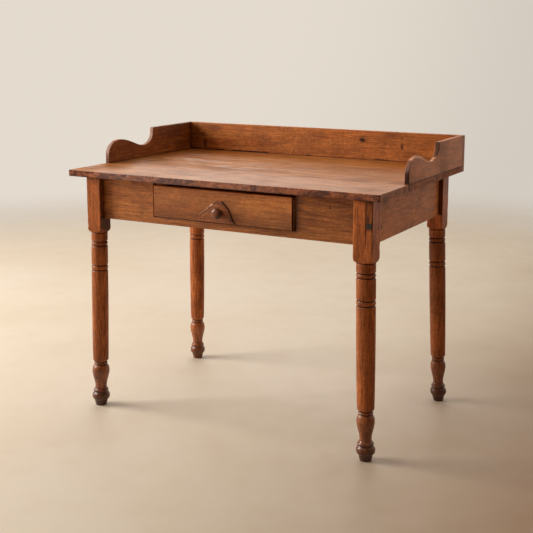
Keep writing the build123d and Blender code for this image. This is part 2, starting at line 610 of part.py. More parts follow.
with BuildPart() as drawer_nails:
    with BuildSketch(SIDE_L):
        with Locations(*DN_FRONT, *DN_BACK):
            Circle(DN_R)
    extrude(amount=DN_L)
    with BuildSketch(SIDE_R):
        with Locations(*DN_FRONT, *DN_BACK):
            Circle(DN_R)
    extrude(amount=-DN_L)
drawer_nails.part.label = "drawer_nails"
export_step(drawer_nails.part, "parts/drawer_nails.step")

# thin peaked plate round the knob
with BuildPart() as knob_plate:
    with BuildSketch(FACE):
        with BuildLine():
            Polyline((KN_U + 7.0, 686.0), (KN_U - 13.5, 686.0), (KN_U - 67.5, 642.5), (KN_U - 69.0, 623.0),
                     (KN_U + 51.5, 623.0))
            Spline((KN_U + 51.5, 623.0), (KN_U + 43.5, 633.5), (KN_U + 38.0, 645.5), (KN_U + 33.5, 656.0),
                   (KN_U + 26.0, 667.5), (KN_U + 15.5, 678.5), (KN_U + 7.0, 686.0))
        make_face()
        with Locations((KN_U, KN_Z)):
            Circle(6.1, mode=Mode.SUBTRACT)
        with Locations((KN_U - 52, 631.5), (KN_U + 38, 631.5), (KN_U - 3.5, 680.0)):
            Circle(0.8, mode=Mode.SUBTRACT)
    extrude(amount=PLATE_T)
knob_plate.part.label = "knob_plate"
export_step(knob_plate.part, "parts/knob_plate.step")

with BuildPart() as plate_nails:
    with BuildSketch(FACE.offset(PLATE_T)):
        with Locations((KN_U - 52, 631.5), (KN_U + 38, 631.5), (KN_U - 3.5, 680.0)):
            Circle(1.6)
    extrude(amount=0.6)
    with BuildSketch(FACE.offset(-8)):
        with Locations((KN_U - 52, 631.5), (KN_U + 38, 631.5), (KN_U - 3.5, 680.0)):
            Circle(0.7)
    extrude(amount=8 + PLATE_T)
plate_nails.part.label = "plate_nails"
export_step(plate_nails.part, "parts/plate_nails.step")

# turned knob with its spigot
knob_origin = FACE.from_local_coords((KN_U, KN_Z, 0))
KNOB = Plane(origin=knob_origin, x_dir=FACE.x_dir, z_dir=(0, 0, 1))    # local x across, local -y outwards
with BuildPart() as drawer_knob:
    with BuildSketch(KNOB):
        with BuildLine():
            Polyline((0, DR_FT + 1.5), (6.0, DR_FT + 1.5), (6.0, -PLATE_T), (10.2, -PLATE_T), (10.0, -PLATE_T - 1.6))
            Spline((10.0, -PLATE_T - 1.6), (7.8, -PLATE_T - 4.6), (9.4, -PLATE_T - 8.0), (14.6, -PLATE_T - 11.0),
                   (KN_R, -PLATE_T - 15.2), (14.8, -PLATE_T - 19.6), (8.8, -PLATE_T - 23.0), (0, -PLATE_T - 24.2),
                   tangents=[(-0.3, -1), (-1, 0)])
            Line((0, -PLATE_T - 24.2), (0, DR_FT + 1.5))
        make_face()
    revolve(axis=Axis(knob_origin, FACE.z_dir), revolution_arc=360)
drawer_knob.part.label = "drawer_knob"
export_step(drawer_knob.part, "parts/drawer_knob.step")
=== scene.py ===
import math

import bpy
import numpy as np
from mathutils import Matrix, Vector
from mathutils.geometry import delaunay_2d_cdt


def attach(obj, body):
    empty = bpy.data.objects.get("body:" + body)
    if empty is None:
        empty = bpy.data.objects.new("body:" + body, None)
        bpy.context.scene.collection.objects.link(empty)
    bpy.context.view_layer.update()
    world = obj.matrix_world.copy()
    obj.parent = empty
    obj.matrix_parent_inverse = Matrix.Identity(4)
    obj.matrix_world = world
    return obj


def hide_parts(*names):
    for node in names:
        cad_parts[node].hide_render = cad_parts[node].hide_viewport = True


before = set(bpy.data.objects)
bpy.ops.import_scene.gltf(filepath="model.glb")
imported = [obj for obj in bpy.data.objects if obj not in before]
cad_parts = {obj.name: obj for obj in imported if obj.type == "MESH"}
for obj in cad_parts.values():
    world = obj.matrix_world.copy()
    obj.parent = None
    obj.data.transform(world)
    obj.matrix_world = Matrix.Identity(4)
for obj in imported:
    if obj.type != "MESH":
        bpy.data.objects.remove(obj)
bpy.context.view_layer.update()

scene = bpy.context.scene
MM = 0.001

# ---------------------------------------------------------------------------
# Sizes that the visual pieces share with the frame, in millimetres
# ---------------------------------------------------------------------------
X0, X1, Y0, Y1 = -510.0, 510.0, -341.0, 341.0
WORK_H, TOP_T, GAL_H, GAL_T, BACK_T = 745.0, 19.0, 95.0, 14.0, 17.0
UNDER, YB = WORK_H - TOP_T, Y1 - BACK_T
GAL_YL, GAL_YR = -155.5, -135.8
SEAM1, SLANT, SEAM2 = -146.0, 10.0, 86.0      # the front seam runs from SEAM1 - SLANT at the left to SEAM1 + SLANT
POST_Z = 556.0
# posts (x from, to, y from, to), size of the turning (at the foot, at the post, of the vase), how far the foot stands off
LEGS = {"leg_front_left": (-450.5, -401.0, -330.0, -279.5, (1.06, 0.965, 1.0), (-13.5, 3.0)),
        "leg_front_right": (430.0, 486.0, -330.0, -275.5, (1.04, 1.04, 0.945), (7.0, 2.0)),
        "leg_back_left": (-451.0, -399.0, 220.0, 272.0, (1.0, 1.0, 1.0), (-3.0, 0.0)),
        "leg_back_right": (435.0, 485.5, 220.0, 270.5, (0.985, 0.985, 0.935), (20.5, -1.0))}
AFY, ABY, ALX, ARX = -309.0, 257.0, -438.0, 472.0
APR_T, APR_Z = 20.0, 600.0
OPX0, OPX1, OPZ = -221.0, 251.0, 620.5
RACK = math.radians(0.87)
DR_W, DR_H, DR_Z = 461.0, 92.0, 621.5
KN_U, KN_Z, PLATE_T = 229.0, 652.0, 3.0


# ---------------------------------------------------------------------------
# Smooth value noise, the same on every run
# ---------------------------------------------------------------------------
def _hash(i, j, k, seed):
    n = (i * 73856093) ^ (j * 19349663) ^ (k * 83492791) ^ (seed * 2654435761 % 4294967296)
    n &= 0xFFFFFFFF
    n = ((n ^ (n >> 13)) * 1274126177) & 0xFFFFFFFF
    n = ((n ^ (n >> 15)) * 2246822519) & 0xFFFFFFFF
    return ((n ^ (n >> 16)) & 0xFFFFFF) / float(0xFFFFFF)


def noise(p, seed=0):
    """0..1 value noise at points p (n, 3)."""
    p = np.asarray(p, float)
    q = np.floor(p)
    f = p - q
    q = q.astype(np.int64) + 100000
    f = f * f * f * (f * (f * 6 - 15) + 10)
    out = 0.0
    for dx in (0, 1):
        wx = f[:, 0] if dx else 1 - f[:, 0]
        for dy in (0, 1):
            wy = f[:, 1] if dy else 1 - f[:, 1]
            for dz in (0, 1):
                wz = f[:, 2] if dz else 1 - f[:, 2]
                out = out + wx * wy * wz * _hash(q[:, 0] + dx, q[:, 1] + dy, q[:, 2] + dz, seed)
    return out


def fbm(p, seed=0, octaves=4, gain=0.5):
    total, amp, norm = 0.0, 1.0, 0.0
    p = np.asarray(p, float)
    for o in range(octaves):
        total = total + amp * noise(p * 2.03 ** o, seed + 17 * o)
        norm += amp
        amp *= gain
    return total / norm


def smooth(x, a, b):
    t = np.clip((x - a) / (b - a), 0, 1)
    return t * t * (3 - 2 * t)


# ---------------------------------------------------------------------------
# Mesh helpers
# ---------------------------------------------------------------------------
def normals_of(P, faces):
    """Area weighted vertex normals."""
    N = np.zeros_like(P)
    for F in faces:
        if len(F) == 0:
            continue
        if F.shape[1] == 4:
            n = np.cross(P[F[:, 2]] - P[F[:, 0]], P[F[:, 3]] - P[F[:, 1]])
        else:
            n = np.cross(P[F[:, 1]] - P[F[:, 0]], P[F[:, 2]] - P[F[:, 0]])
        for c in range(F.shape[1]):
            np.add.at(N, F[:, c], n)
    return N / np.maximum(np.linalg.norm(N, axis=1)[:, None], 1e-12)


def make_piece(name, P, faces, body, material, replaces=(), attrs=None, sharp=50.0):
    """Object from millimetre points and lists of quad and triangle arrays."""
    faces = [np.asarray(F, int) for F in faces if len(F)]
    me = bpy.data.meshes.new(name)
    me.from_pydata((np.asarray(P) * MM).tolist(), [], [f for F in faces for f in F.tolist()])
    for key, values in (attrs or {}).items():
        a = me.attributes.new(key, "FLOAT", "POINT")
        a.data.foreach_set("value", np.clip(np.asarray(values, np.float32), 0, 1))
    me.validate()
    me.shade_smooth()
    me.set_sharp_from_angle(angle=math.radians(sharp))
    ob = bpy.data.objects.new(name, me)
    scene.collection.objects.link(ob)
    me.materials.append(material)
    m = ob.modifiers.new("flats", "WEIGHTED_NORMAL")
    m.keep_sharp = True
    m.weight = 60
    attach(ob, body)
    if replaces:
        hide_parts(*replaces)
    return ob


def lines(*stops, step=8.0, near=None):
    """Grid lines through every stop, no further apart than step, with the fine lines
    that a rounded edge of radius near[i] needs beside stop i."""
    out = set()
    near = near or {}
    for a, b in zip(stops[:-1], stops[1:]):
        ra, rb = near.get(a, 0.0), near.get(b, 0.0)
        lo, hi = a, b
        for s, r, sign in ((a, ra, 1), (b, rb, -1)):
            if r:
                for k in (0.423, 0.732, 1.0, 1.5):
                    out.add(round(s + sign * r * k, 4))
        if ra:
            lo = a + ra * 1.5
        if rb:
            hi = b - rb * 1.5
        n = max(1, int(math.ceil((hi - lo) / step - 1e-6)))
        for t in range(n + 1):
            out.add(round(lo + (hi - lo) * t / n, 4))
        out.update((round(a, 4), round(b, 4)))
    return np.array(sorted(out))


class Block:
    """Surface of a union of grid cells, kept as shared quads, with edges that can be rounded."""

    def __init__(self, xs, ys, zs, solid=None):
        nx, ny, nz = len(xs) - 1, len(ys) - 1, len(zs) - 1
        occ = np.zeros((nx + 2, ny + 2, nz + 2), bool)
        if solid is None:
            occ[1:-1, 1:-1, 1:-1] = True
        else:
            cx, cy, cz = ((a[1:] + a[:-1]) / 2 for a in (xs, ys, zs))
            occ[1:-1, 1:-1, 1:-1] = solid(cx[:, None, None], cy[None, :, None], cz[None, None, :])
        quads = []
        for axis in range(3):
            o = np.moveaxis(occ, axis, 0)
            low, high = o[:-1, 1:-1, 1:-1], o[1:, 1:-1, 1:-1]
            for pick, flip in ((low & ~high, False), (~low & high, True)):
                i, j, k = np.nonzero(pick)
                c = [(i, j, k), (i, j + 1, k), (i, j + 1, k + 1), (i, j, k + 1)]
                if axis == 1:
                    c = c[::-1]
                if flip:
                    c = c[::-1]
                ids = []
                for a in c:
                    full = [None] * 3
                    rest = [r for r in range(3) if r != axis]
                    full[axis], full[rest[0]], full[rest[1]] = a
                    ids.append((full[0] * (ny + 1) + full[1]) * (nz + 1) + full[2])
                quads.append(np.stack(ids, 1))
        q = np.concatenate(quads)
        used, inv = np.unique(q, return_inverse=True)
        self.F = inv.reshape(q.shape)
        ix, rem = np.divmod(used, (ny + 1) * (nz + 1))
        iy, iz = np.divmod(rem, nz + 1)
        self.P0 = np.stack([xs[ix], ys[iy], zs[iz]], 1)
        self.P = self.P0.copy()
        self.edge = np.zeros(len(self.P))

    def round(self, a, b, r, where=None):
        """Rounds the edge where faces a = (axis, plane, outward sign) and b meet."""
        (ax, pa, sa), (bx, pb, sb) = a, b
        P = self.P
        r = np.broadcast_to(np.asarray(r, float), (len(P),))
        da, db = sa * (pa - P[:, ax]), sb * (pb - P[:, bx])
        m = (da < r) & (db < r) & (da > -1e-6) & (db > -1e-6)
        if where is not None:
            m &= where(self.P0)
        ea, eb = r[m] - da[m], r[m] - db[m]
        k = np.maximum(ea, eb) / np.maximum(np.hypot(ea, eb), 1e-9)
        P[m, ax] = pa - sa * (r[m] - ea * k)
        P[m, bx] = pb - sb * (r[m] - eb * k)
        rim = np.zeros(len(P))
        rim[m] = np.minimum(ea, eb) / np.maximum(np.maximum(ea, eb), 1e-9)
        self.edge = np.maximum(self.edge, rim)
        return self

    def box_edges(self, r, lo=None, hi=None, skip=()):
        lo = self.P0.min(0) if lo is None else lo
        hi = self.P0.max(0) if hi is None else hi
        sides = [(0, lo[0], -1), (0, hi[0], 1), (1, lo[1], -1), (1, hi[1], 1), (2, lo[2], -1), (2, hi[2], 1)]
        for i, a in enumerate(sides):
            for b in sides[i + 1:]:
                if a[0] != b[0] and (a, b) not in skip:
                    self.round(a, b, r)
        return self

    def push(self, depth):
        """Moves every point in along its normal by depth (mm)."""
        N = normals_of(self.P, [self.F])
        self.P = self.P - N * np.asarray(depth)[:, None]
        return self


def inward(poly):
    """Mitred inward directions of a counter-clockwise closed outline."""
    d = np.roll(poly, -1, 0) - poly
    d /= np.linalg.norm(d, axis=1)[:, None]
    n = np.stack([-d[:, 1], d[:, 0]], 1)
    m = n + np.roll(n, 1, 0)
    m /= np.linalg.norm(m, axis=1)[:, None]
    c = np.clip((m * n).sum(1), 0.62, 1)
    return m / c[:, None]


def inside(poly, q):
    x, y = q[:, 0], q[:, 1]
    res = np.zeros(len(q), bool)
    a, b = poly, np.roll(poly, -1, 0)
    for (x1, y1), (x2, y2) in zip(a, b):
        if abs(y2 - y1) < 1e-12:
            continue
        hit = ((y1 > y) != (y2 > y)) & (x < (x2 - x1) * (y - y1) / (y2 - y1) + x1)
        res ^= hit
    return res


def resample(points, step):
    """Even points along an open polyline, its corners kept."""
    out = [np.asarray(points[0], float)]
    for a, b in zip(points[:-1], points[1:]):
        a, b = np.asarray(a, float), np.asarray(b, float)
        n = max(1, int(round(np.linalg.norm(b - a) / step)))
        out += [a + (b - a) * t / n for t in range(1, n + 1)]
    return np.array(out)


def catmull(points, per=6):
    """Centripetal curve through the points."""
    p = np.asarray(points, float)
    p = np.vstack([2 * p[0] - p[1], p, 2 * p[-1] - p[-2]])
    out = []
    for i in range(1, len(p) - 2):
        t = [0.0]
        for k in range(3):
            t.append(t[-1] + max(np.linalg.norm(p[i + k] - p[i + k - 1]) ** 0.5, 1e-6))
        n = per if np.isscalar(per) else per[i - 1]
        for s in range(n):
            u = t[1] + (t[2] - t[1]) * s / n
            a1 = (t[1] - u) / (t[1] - t[0]) * p[i - 1] + (u - t[0]) / (t[1] - t[0]) * p[i]
            a2 = (t[2] - u) / (t[2] - t[1]) * p[i] + (u - t[1]) / (t[2] - t[1]) * p[i + 1]
            a3 = (t[3] - u) / (t[3] - t[2]) * p[i + 1] + (u - t[2]) / (t[3] - t[2]) * p[i + 2]
            b1 = (t[2] - u) / (t[2] - t[0]) * a1 + (u - t[0]) / (t[2] - t[0]) * a2
            b2 = (t[3] - u) / (t[3] - t[1]) * a2 + (u - t[1]) / (t[3] - t[1]) * a3
            out.append((t[2] - u) / (t[2] - t[1]) * b1 + (u - t[1]) / (t[2] - t[1]) * b2)
    out.append(p[-2])
    return np.array(out)


def sawn(poly, T, r, rows, step, holes=()):
    """A board of thickness T cut to a closed outline, arrises rounded by r (one per outline point).
    Points are (a, b, depth). Returns P, [quads, tris], rim."""
    poly = np.asarray(poly, float)
    n = len(poly)
    inn = inward(poly)
    r = np.broadcast_to(np.asarray(r, float), (n,))
    rings = []
    arc = [0, 22.5, 45, 67.5, 90]
    for ph in arc:
        s, c = math.sin(math.radians(ph)), math.cos(math.radians(ph))
        rings.append((r * (1 - s), r * (1 - c), min(ph, 90 - ph) / 45))
    for k in range(1, rows):
        rings.append((r * 0, r + (T - 2 * r) * k / rows, 0))
    for ph in arc[::-1]:
        s, c = math.sin(math.radians(ph)), math.cos(math.radians(ph))
        rings.append((r * (1 - s), T - r * (1 - c), min(ph, 90 - ph) / 45))
    P = np.concatenate([np.column_stack([poly + inn * i[:, None], np.broadcast_to(d, (n,))]) for i, d, _ in rings])
    rim = np.concatenate([np.full(n, e) for _, _, e in rings])
    quads, j = [], np.arange(n)
    j2 = (j + 1) % n
    for k in range(len(rings) - 1):
        quads.append(np.stack([k * n + j, k * n + j2, (k + 1) * n + j2, (k + 1) * n + j], 1))
    quads = np.concatenate(quads)
    # both flats
    flat = P[:n, :2]
    lo, hi = flat.min(0), flat.max(0)
    gx, gy = np.meshgrid(np.arange(lo[0] + step / 2, hi[0], step), np.arange(lo[1] + step / 2, hi[1], step * 0.87))
    gx = gx + (np.arange(gx.shape[0])[:, None] % 2) * step * 0.5
    g = np.stack([gx.ravel(), gy.ravel()], 1)
    g = g[inside(flat, g)]
    if len(g):
        near = np.array([np.min(np.hypot(*(flat - q).T)) for q in g])
        g = g[near > step * 0.45]
    loops = [list(range(n))]
    extra = []
    for h in holes:
        start = n + sum(len(e) for e in extra)
        loops.append(list(range(start, start + len(h))))
        extra.append(np.asarray(h))
        g = g[~inside(np.asarray(h), g)]
        g = g[np.array([np.min(np.hypot(*(np.asarray(h) - q).T)) for q in g]) > step * 0.3]
    pts = np.concatenate([flat] + extra + [g])
    edges = [(a, b) for L in loops for a, b in zip(L, L[1:] + L[:1])]
    vo, _, fo, orig, _, _ = delaunay_2d_cdt([Vector(p) for p in pts], edges, [], 0, 1e-5)
    back = [o[0] if o else -1 for o in orig]
    tris = []
    for f in fo:
        ids = [back[v] for v in f]
        if -1 in ids:
            continue
        c = pts[ids].mean(0)
        if not inside(flat, c[None])[0] or any(inside(np.asarray(h), c[None])[0] for h in holes):
            continue
        for k in range(1, len(ids) - 1):
            tris.append((ids[0], ids[k], ids[k + 1]))
    tris = np.array(tris)
    area = np.cross(pts[tris[:, 1]] - pts[tris[:, 0]], pts[tris[:, 2]] - pts[tris[:, 0]])
    tris[area < 0] = tris[area < 0][:, ::-1]
    inner = pts[n:]
    base = len(P)
    P = np.concatenate([P, np.column_stack([inner, np.zeros(len(inner))]), np.column_stack([inner, np.full(len(inner), T)])])
    rim = np.concatenate([rim, np.zeros(2 * len(inner))])
    first = np.where(tris < n, tris, base + tris - n)
    last = np.where(tris < n, (len(rings) - 1) * n + tris, base + len(inner) + tris - n)
    walls = []
    for L in loops[1:]:
        a = np.array(L) - n
        b = np.roll(a, -1)
        walls.append(np.stack([base + b, base + a, base + len(inner) + a, base + len(inner) + b], 1))
    quads = np.concatenate([quads] + walls)
    return P, [quads, np.concatenate([first[:, ::-1], last])], rim


# ---------------------------------------------------------------------------
# Node helpers
# ---------------------------------------------------------------------------
def lin(r, g, b):
    return tuple(((c / 255 + 0.055) / 1.055) ** 2.4 if c > 10 else c / 255 / 12.92 for c in (r, g, b)) + (1.0,)


class Tree:
    def __init__(self, material):
        material.use_nodes = True
        self.t = material.node_tree
        self.t.nodes.clear()

    def add(self, kind, ins=None, **props):
        n = self.t.nodes.new(kind)
        for k, v in props.items():
            setattr(n, k, v)
        for k, v in (ins or {}).items():
            s = n.inputs[k]
            if isinstance(v, bpy.types.NodeSocket):
                self.t.links.new(v, s)
            else:
                s.default_value = v
        return n

    def math(self, op, a, b=None, c=None, clamp=False):
        ins = {0: a}
        if b is not None:
            ins[1] = b
        if c is not None:
            ins[2] = c
        return self.add("ShaderNodeMath", ins, operation=op, use_clamp=clamp).outputs[0]

    def vec(self, op, a, b=None, scale=None):
        ins = {0: a}
        if b is not None:
            ins[1] = b
        if scale is not None:
            ins["Scale"] = scale
        n = self.add("ShaderNodeVectorMath", ins, operation=op)
        return n.outputs["Value"] if op in ("LENGTH", "DOT_PRODUCT", "DISTANCE") else n.outputs[0]

    def noise(self, v, scale=1.0, detail=3.0, rough=0.5, color=False, dist=0.0):
        n = self.add("ShaderNodeTexNoise", {"Vector": v, "Scale": scale, "Detail": detail, "Roughness": rough, "Distortion": dist})
        return n.outputs["Color"] if color else n.outputs[0]

    def noise1(self, w, scale=1.0, detail=2.0):
        n = self.add("ShaderNodeTexNoise", {"Scale": scale, "Detail": detail}, noise_dimensions="1D")
        self.t.links.new(w, n.inputs["W"])
        return n.outputs[0]

    def step(self, x, a, b, lo=0.0, hi=1.0):
        n = self.add("ShaderNodeMapRange", {"Value": x, "From Min": a, "From Max": b, "To Min": lo, "To Max": hi},
                     interpolation_type="SMOOTHSTEP")
        return n.outputs[0]

    def linear(self, x, a, b, lo=0.0, hi=1.0):
        n = self.add("ShaderNodeMapRange", {"Value": x, "From Min": a, "From Max": b, "To Min": lo, "To Max": hi})
        return n.outputs[0]

    def mix(self, f, a, b, blend="MIX"):
        n = self.add("ShaderNodeMix", data_type="RGBA", blend_type=blend)
        for s, v in ((n.inputs[0], f), (n.inputs[6], a), (n.inputs[7], b)):
            if isinstance(v, bpy.types.NodeSocket):
                self.t.links.new(v, s)
            else:
                s.default_value = v
        return n.outputs[2]

    def attr(self, name):
        return self.add("ShaderNodeAttribute", attribute_name=name, attribute_type="GEOMETRY").outputs["Fac"]


def spot(T, obj, centre, radii, soft=0.45, wobble=None):
    """1 inside an ellipsoid round centre (mm), radii (mm)."""
    d = T.vec("SUBTRACT", obj, tuple(c * MM for c in centre))
    d = T.vec("MULTIPLY", d, tuple(1 / (r * MM) for r in radii))
    d = T.vec("LENGTH", d)
    if wobble is not None:
        d = T.math("ADD", d, wobble)
    return T.step(d, 1 - soft, 1.0 + soft * 0.25, 1.0, 0.0)


def pine(name, grain, centre, early, late, streak, grime,
         pith=(0.05, 0.03), tilt=(0.03, -0.02), ring=0.0055, wobble=0.012,
         late_k=0.55, streak_k=0.6, grime_k=0.5, fibre_k=0.32, seed=0.0, mottle=0.16,
         rough=0.45, spec=0.35, coat=0.0, coat_rough=0.25, bump=0.5, wear=None, wear_k=0.6,
         stain_and_highlight=None, dirt_and_shade=None, spots=(), extra=None, streak_scale=1.0, blotch=7.0, tone=None, ragged=False, sheen=None, dapple_k=None):
    mat = bpy.data.materials.new(name)
    T = Tree(mat)
    obj = T.add("ShaderNodeTexCoord").outputs["Object"]
    rel = T.vec("SUBTRACT", obj, tuple(c * MM for c in centre))
    sep = T.add("ShaderNodeSeparateXYZ", {0: rel})
    order = {"X": (0, 1, 2), "Y": (1, 0, 2), "Z": (2, 0, 1)}[grain]
    l, a, b = (sep.outputs[i] for i in order)
    L = T.add("ShaderNodeCombineXYZ", {0: l, 1: a, 2: b}).outputs[0]
    off = (seed * 3.7, seed * 1.3, seed * 2.1)

    def stretched(sl, sc, shift=0.0):
        return T.vec("ADD", T.vec("MULTIPLY", L, (sl, sc, sc)), tuple(o + shift for o in off))

    # wandering pith line and growth rings round it
    w = T.vec("SUBTRACT", T.noise(stretched(2.4, 6.5), 1.0, 2.0, 0.5, color=True), (0.5, 0.5, 0.5))
    w2 = T.vec("SUBTRACT", T.noise(stretched(9.0, 30.0, 5.0), 1.0, 2.0, 0.5, color=True), (0.5, 0.5, 0.5))
    wsep = T.add("ShaderNodeSeparateXYZ", {0: T.vec("ADD", T.vec("MULTIPLY", w, (1, 2 * wobble, 2 * wobble)),
                                                    T.vec("MULTIPLY", w2, (1, 0.25 * wobble, 0.25 * wobble)))})
    pa = T.math("ADD", T.math("ADD", T.math("MULTIPLY_ADD", l, tilt[0], a), pith[0]), wsep.outputs[1])
    pb = T.math("ADD", T.math("ADD", T.math("MULTIPLY_ADD", l, tilt[1], b), pith[1]), wsep.outputs[2])
    radius = T.math("SQRT", T.math("ADD", T.math("MULTIPLY", pa, pa), T.math("MULTIPLY", pb, pb)))
    uneven = T.math("MULTIPLY", T.noise1(T.math("ADD", radius, seed * 0.37), 55.0, 2.0), 2.4)
    phase = T.math("FRACT", T.math("MULTIPLY_ADD", radius, 1 / ring, uneven))
    late_m = T.math("MULTIPLY", T.step(phase, 0.30, 0.90), T.step(phase, 0.93, 1.0, 1.0, 0.0))
    fade = T.step(T.noise(stretched(4.0, 14.0, 9.0), 1.0, 2.0), 0.3, 0.7, 0.35, 1.0)
    late_m = T.math("MULTIPLY", late_m, fade)

    k = streak_scale
    fibre = T.noise(stretched(26.0, 560.0, 2.0), 1.0, 4.0, 0.65)
    thin = T.noise(stretched(17.0 * k, 290.0 * k, 7.0), 1.0, 3.0, 0.6)
    mid = T.noise(stretched(9.0 * k, 115.0 * k, 11.0), 1.0, 4.0, 0.62)
    wide = T.noise(stretched(3.6 * k, 36.0 * k, 3.0), 1.0, 5.0, 0.62)
    short = T.noise(stretched(38.0 * k, 320.0 * k, 13.0), 1.0, 3.0, 0.6)
    shifted = T.vec("ADD", obj, off)
    patch = T.noise(shifted, blotch, 4.0, 0.55)
    cloud = T.noise(stretched(17.0, 44.0, 6.0), 1.0, 3.0, 0.55)
    fine = T.noise(shifted, 95.0, 4.0, 0.6)
    pore = T.noise(stretched(60.0, 900.0, 1.0), 1.0, 2.0, 0.5)

    c = T.mix(T.math("MULTIPLY", late_m, late_k), early, late)
    c = T.mix(T.math("MULTIPLY", T.step(wide, 0.44, 0.66), streak_k * 0.65), c, late)
    c = T.mix(T.math("MULTIPLY", T.step(mid, 0.46, 0.68), streak_k * 0.6), c, streak)
    c = T.mix(T.math("MULTIPLY", T.step(thin, 0.47, 0.66), streak_k * 0.85), c, streak)
    c = T.mix(T.math("MULTIPLY", T.step(short, 0.52, 0.72), streak_k * 0.42), c, streak)
    c = T.mix(T.math("MULTIPLY", T.step(patch, 0.44, 0.72), grime_k), c, grime)
    level = T.linear(fibre, 0.2, 0.8, 1.0 - fibre_k, 1.0 + fibre_k)
    level = T.math("MULTIPLY", level, T.linear(cloud, 0.25, 0.75, 1.0 - mottle, 1.0 + mottle))
    level = T.math("MULTIPLY", level, T.linear(fine, 0.2, 0.8, 0.88, 1.12))
    level = T.math("MULTIPLY", level, T.step(pore, 0.60, 0.74, 1.0, 0.72))
    dapple = T.noise(stretched(95.0, 165.0, 17.0), 1.0, 3.0, 0.6)
    dk = 1.25 * mottle if dapple_k is None else dapple_k
    level = T.math("MULTIPLY", level, T.linear(dapple, 0.25, 0.75, 1.0 - dk, 1.0 + dk))
    if tone is not None:
        level = T.math("MULTIPLY", level, tone(T, obj, patch))
    grey = T.add("ShaderNodeCombineColor", {0: level, 1: level, 2: level}).outputs[0]
    c = T.mix(1.0, c, grey, "MULTIPLY")

    jitter = T.linear(T.noise(shifted, 60.0, 3.0, 0.6), 0.2, 0.8, -0.35, 0.35)
    for (centre_s, radii, colour, ks, soft) in spots:
        m = T.math("MULTIPLY", spot(T, obj, centre_s, radii, soft, jitter), ks)
        c = T.mix(m, c, colour)
    edge = T.attr("edge")
    if wear is not None:
        m = T.math("MULTIPLY", T.math("MULTIPLY", edge, T.step(T.noise(shifted, 42.0, 4.0, 0.65), 0.42, 0.62)), wear_k)
        c = T.mix(m, c, wear)
    if stain_and_highlight is not None and ragged:
        # the handled edges: dark old finish, worn through unevenly
        st = T.attr("stain_and_highlight")
        face = T.step(st, 0.04, 0.22)
        px = T.add("ShaderNodeSeparateXYZ", {0: obj}).outputs[0]
        tn = T.noise(T.vec("MULTIPLY", shifted, (1, 1, 1.7)), 48.0, 5.0, 0.62)
        tint = T.mix(T.step(tn, 0.38, 0.62), lin(166, 98, 66), lin(116, 64, 50))
        tint = T.mix(T.step(px, 0.5080, 0.5098), tint, T.mix(T.step(tn, 0.38, 0.62), lin(178, 116, 84), lin(140, 90, 64)))
        c = T.mix(T.math("MULTIPLY", face, 0.85), c, T.mix(1.0, tint, grey, "MULTIPLY"))
        soft = T.noise(T.vec("MULTIPLY", shifted, (1, 1, 1.5)), 90.0, 5.0, 0.65)
        m = T.math("MULTIPLY", T.step(T.math("MULTIPLY_ADD", soft, 1.0, st), 0.90, 1.40), T.step(px, 0.5080, 0.5098, 1.0, 0.45))
        c = T.mix(T.math("MULTIPLY", m, 0.82), c, stain_and_highlight)
        speck = T.step(T.noise(T.vec("MULTIPLY", shifted, (1, 1, 1.4)), 300.0, 3.0, 0.7), 0.55, 0.68)
        c = T.mix(T.math("MULTIPLY", T.math("MULTIPLY", speck, face), 0.68), c, lin(58, 30, 25))
        fleck = T.step(T.noise(T.vec("MULTIPLY", shifted, (0.7, 1, 1.4)), 240.0, 3.0, 0.7), 0.58, 0.70)
        c = T.mix(T.math("MULTIPLY", T.math("MULTIPLY", fleck, face), 0.6), c, lin(190, 122, 88))
    elif stain_and_highlight is not None:
        # outside the top's handled edges the stain channel carries real stains and, on the left gallery end and the
        # knob plate, a pale painted highlight
        m = T.math("MULTIPLY", T.attr("stain_and_highlight"), T.linear(fine, 0.3, 0.7, 0.7, 1.0))
        c = T.mix(m, c, stain_and_highlight)
    # the dirt channel carries real dirt and painted shade: shadow strips, shadow lines and shaded sides are darkened
    # through it
    c = T.mix(T.attr("dirt_and_shade"), c, dirt_and_shade or lin(40, 22, 14))
    if extra is not None:
        c = extra(T, obj, c, patch, fine, fibre)

    rgh = T.math("ADD", T.linear(fibre, 0.2, 0.8, rough - 0.05, rough + 0.05), T.linear(patch, 0.3, 0.7, -0.05, 0.06))
    rgh = T.math("MULTIPLY_ADD", late_m, -0.04, rgh)
    height = T.math("MULTIPLY_ADD", late_m, 0.55, T.math("MULTIPLY", fibre, 0.5))
    height = T.math("ADD", height, T.math("MULTIPLY", thin, 0.6))
    height = T.math("SUBTRACT", height, T.math("MULTIPLY", T.step(pore, 0.60, 0.74), 0.5))
    height = T.math("ADD", height, T.math("MULTIPLY", T.noise(shifted, 26.0, 3.0, 0.5), 1.6))
    nrm = T.add("ShaderNodeBump", {"Strength": bump, "Distance": 0.00035, "Height": height}).outputs[0]
    if sheen is not None:
        spec, rgh = sheen(T, obj, stretched, rgh)
    bsdf = T.add("ShaderNodeBsdfPrincipled", {"Base Color": c, "Roughness": rgh, "Normal": nrm, "Specular IOR Level": spec,
                                              "Coat Weight": coat, "Coat Roughness": coat_rough})
    T.add("ShaderNodeOutputMaterial", {0: bsdf.outputs[0]})
    return mat


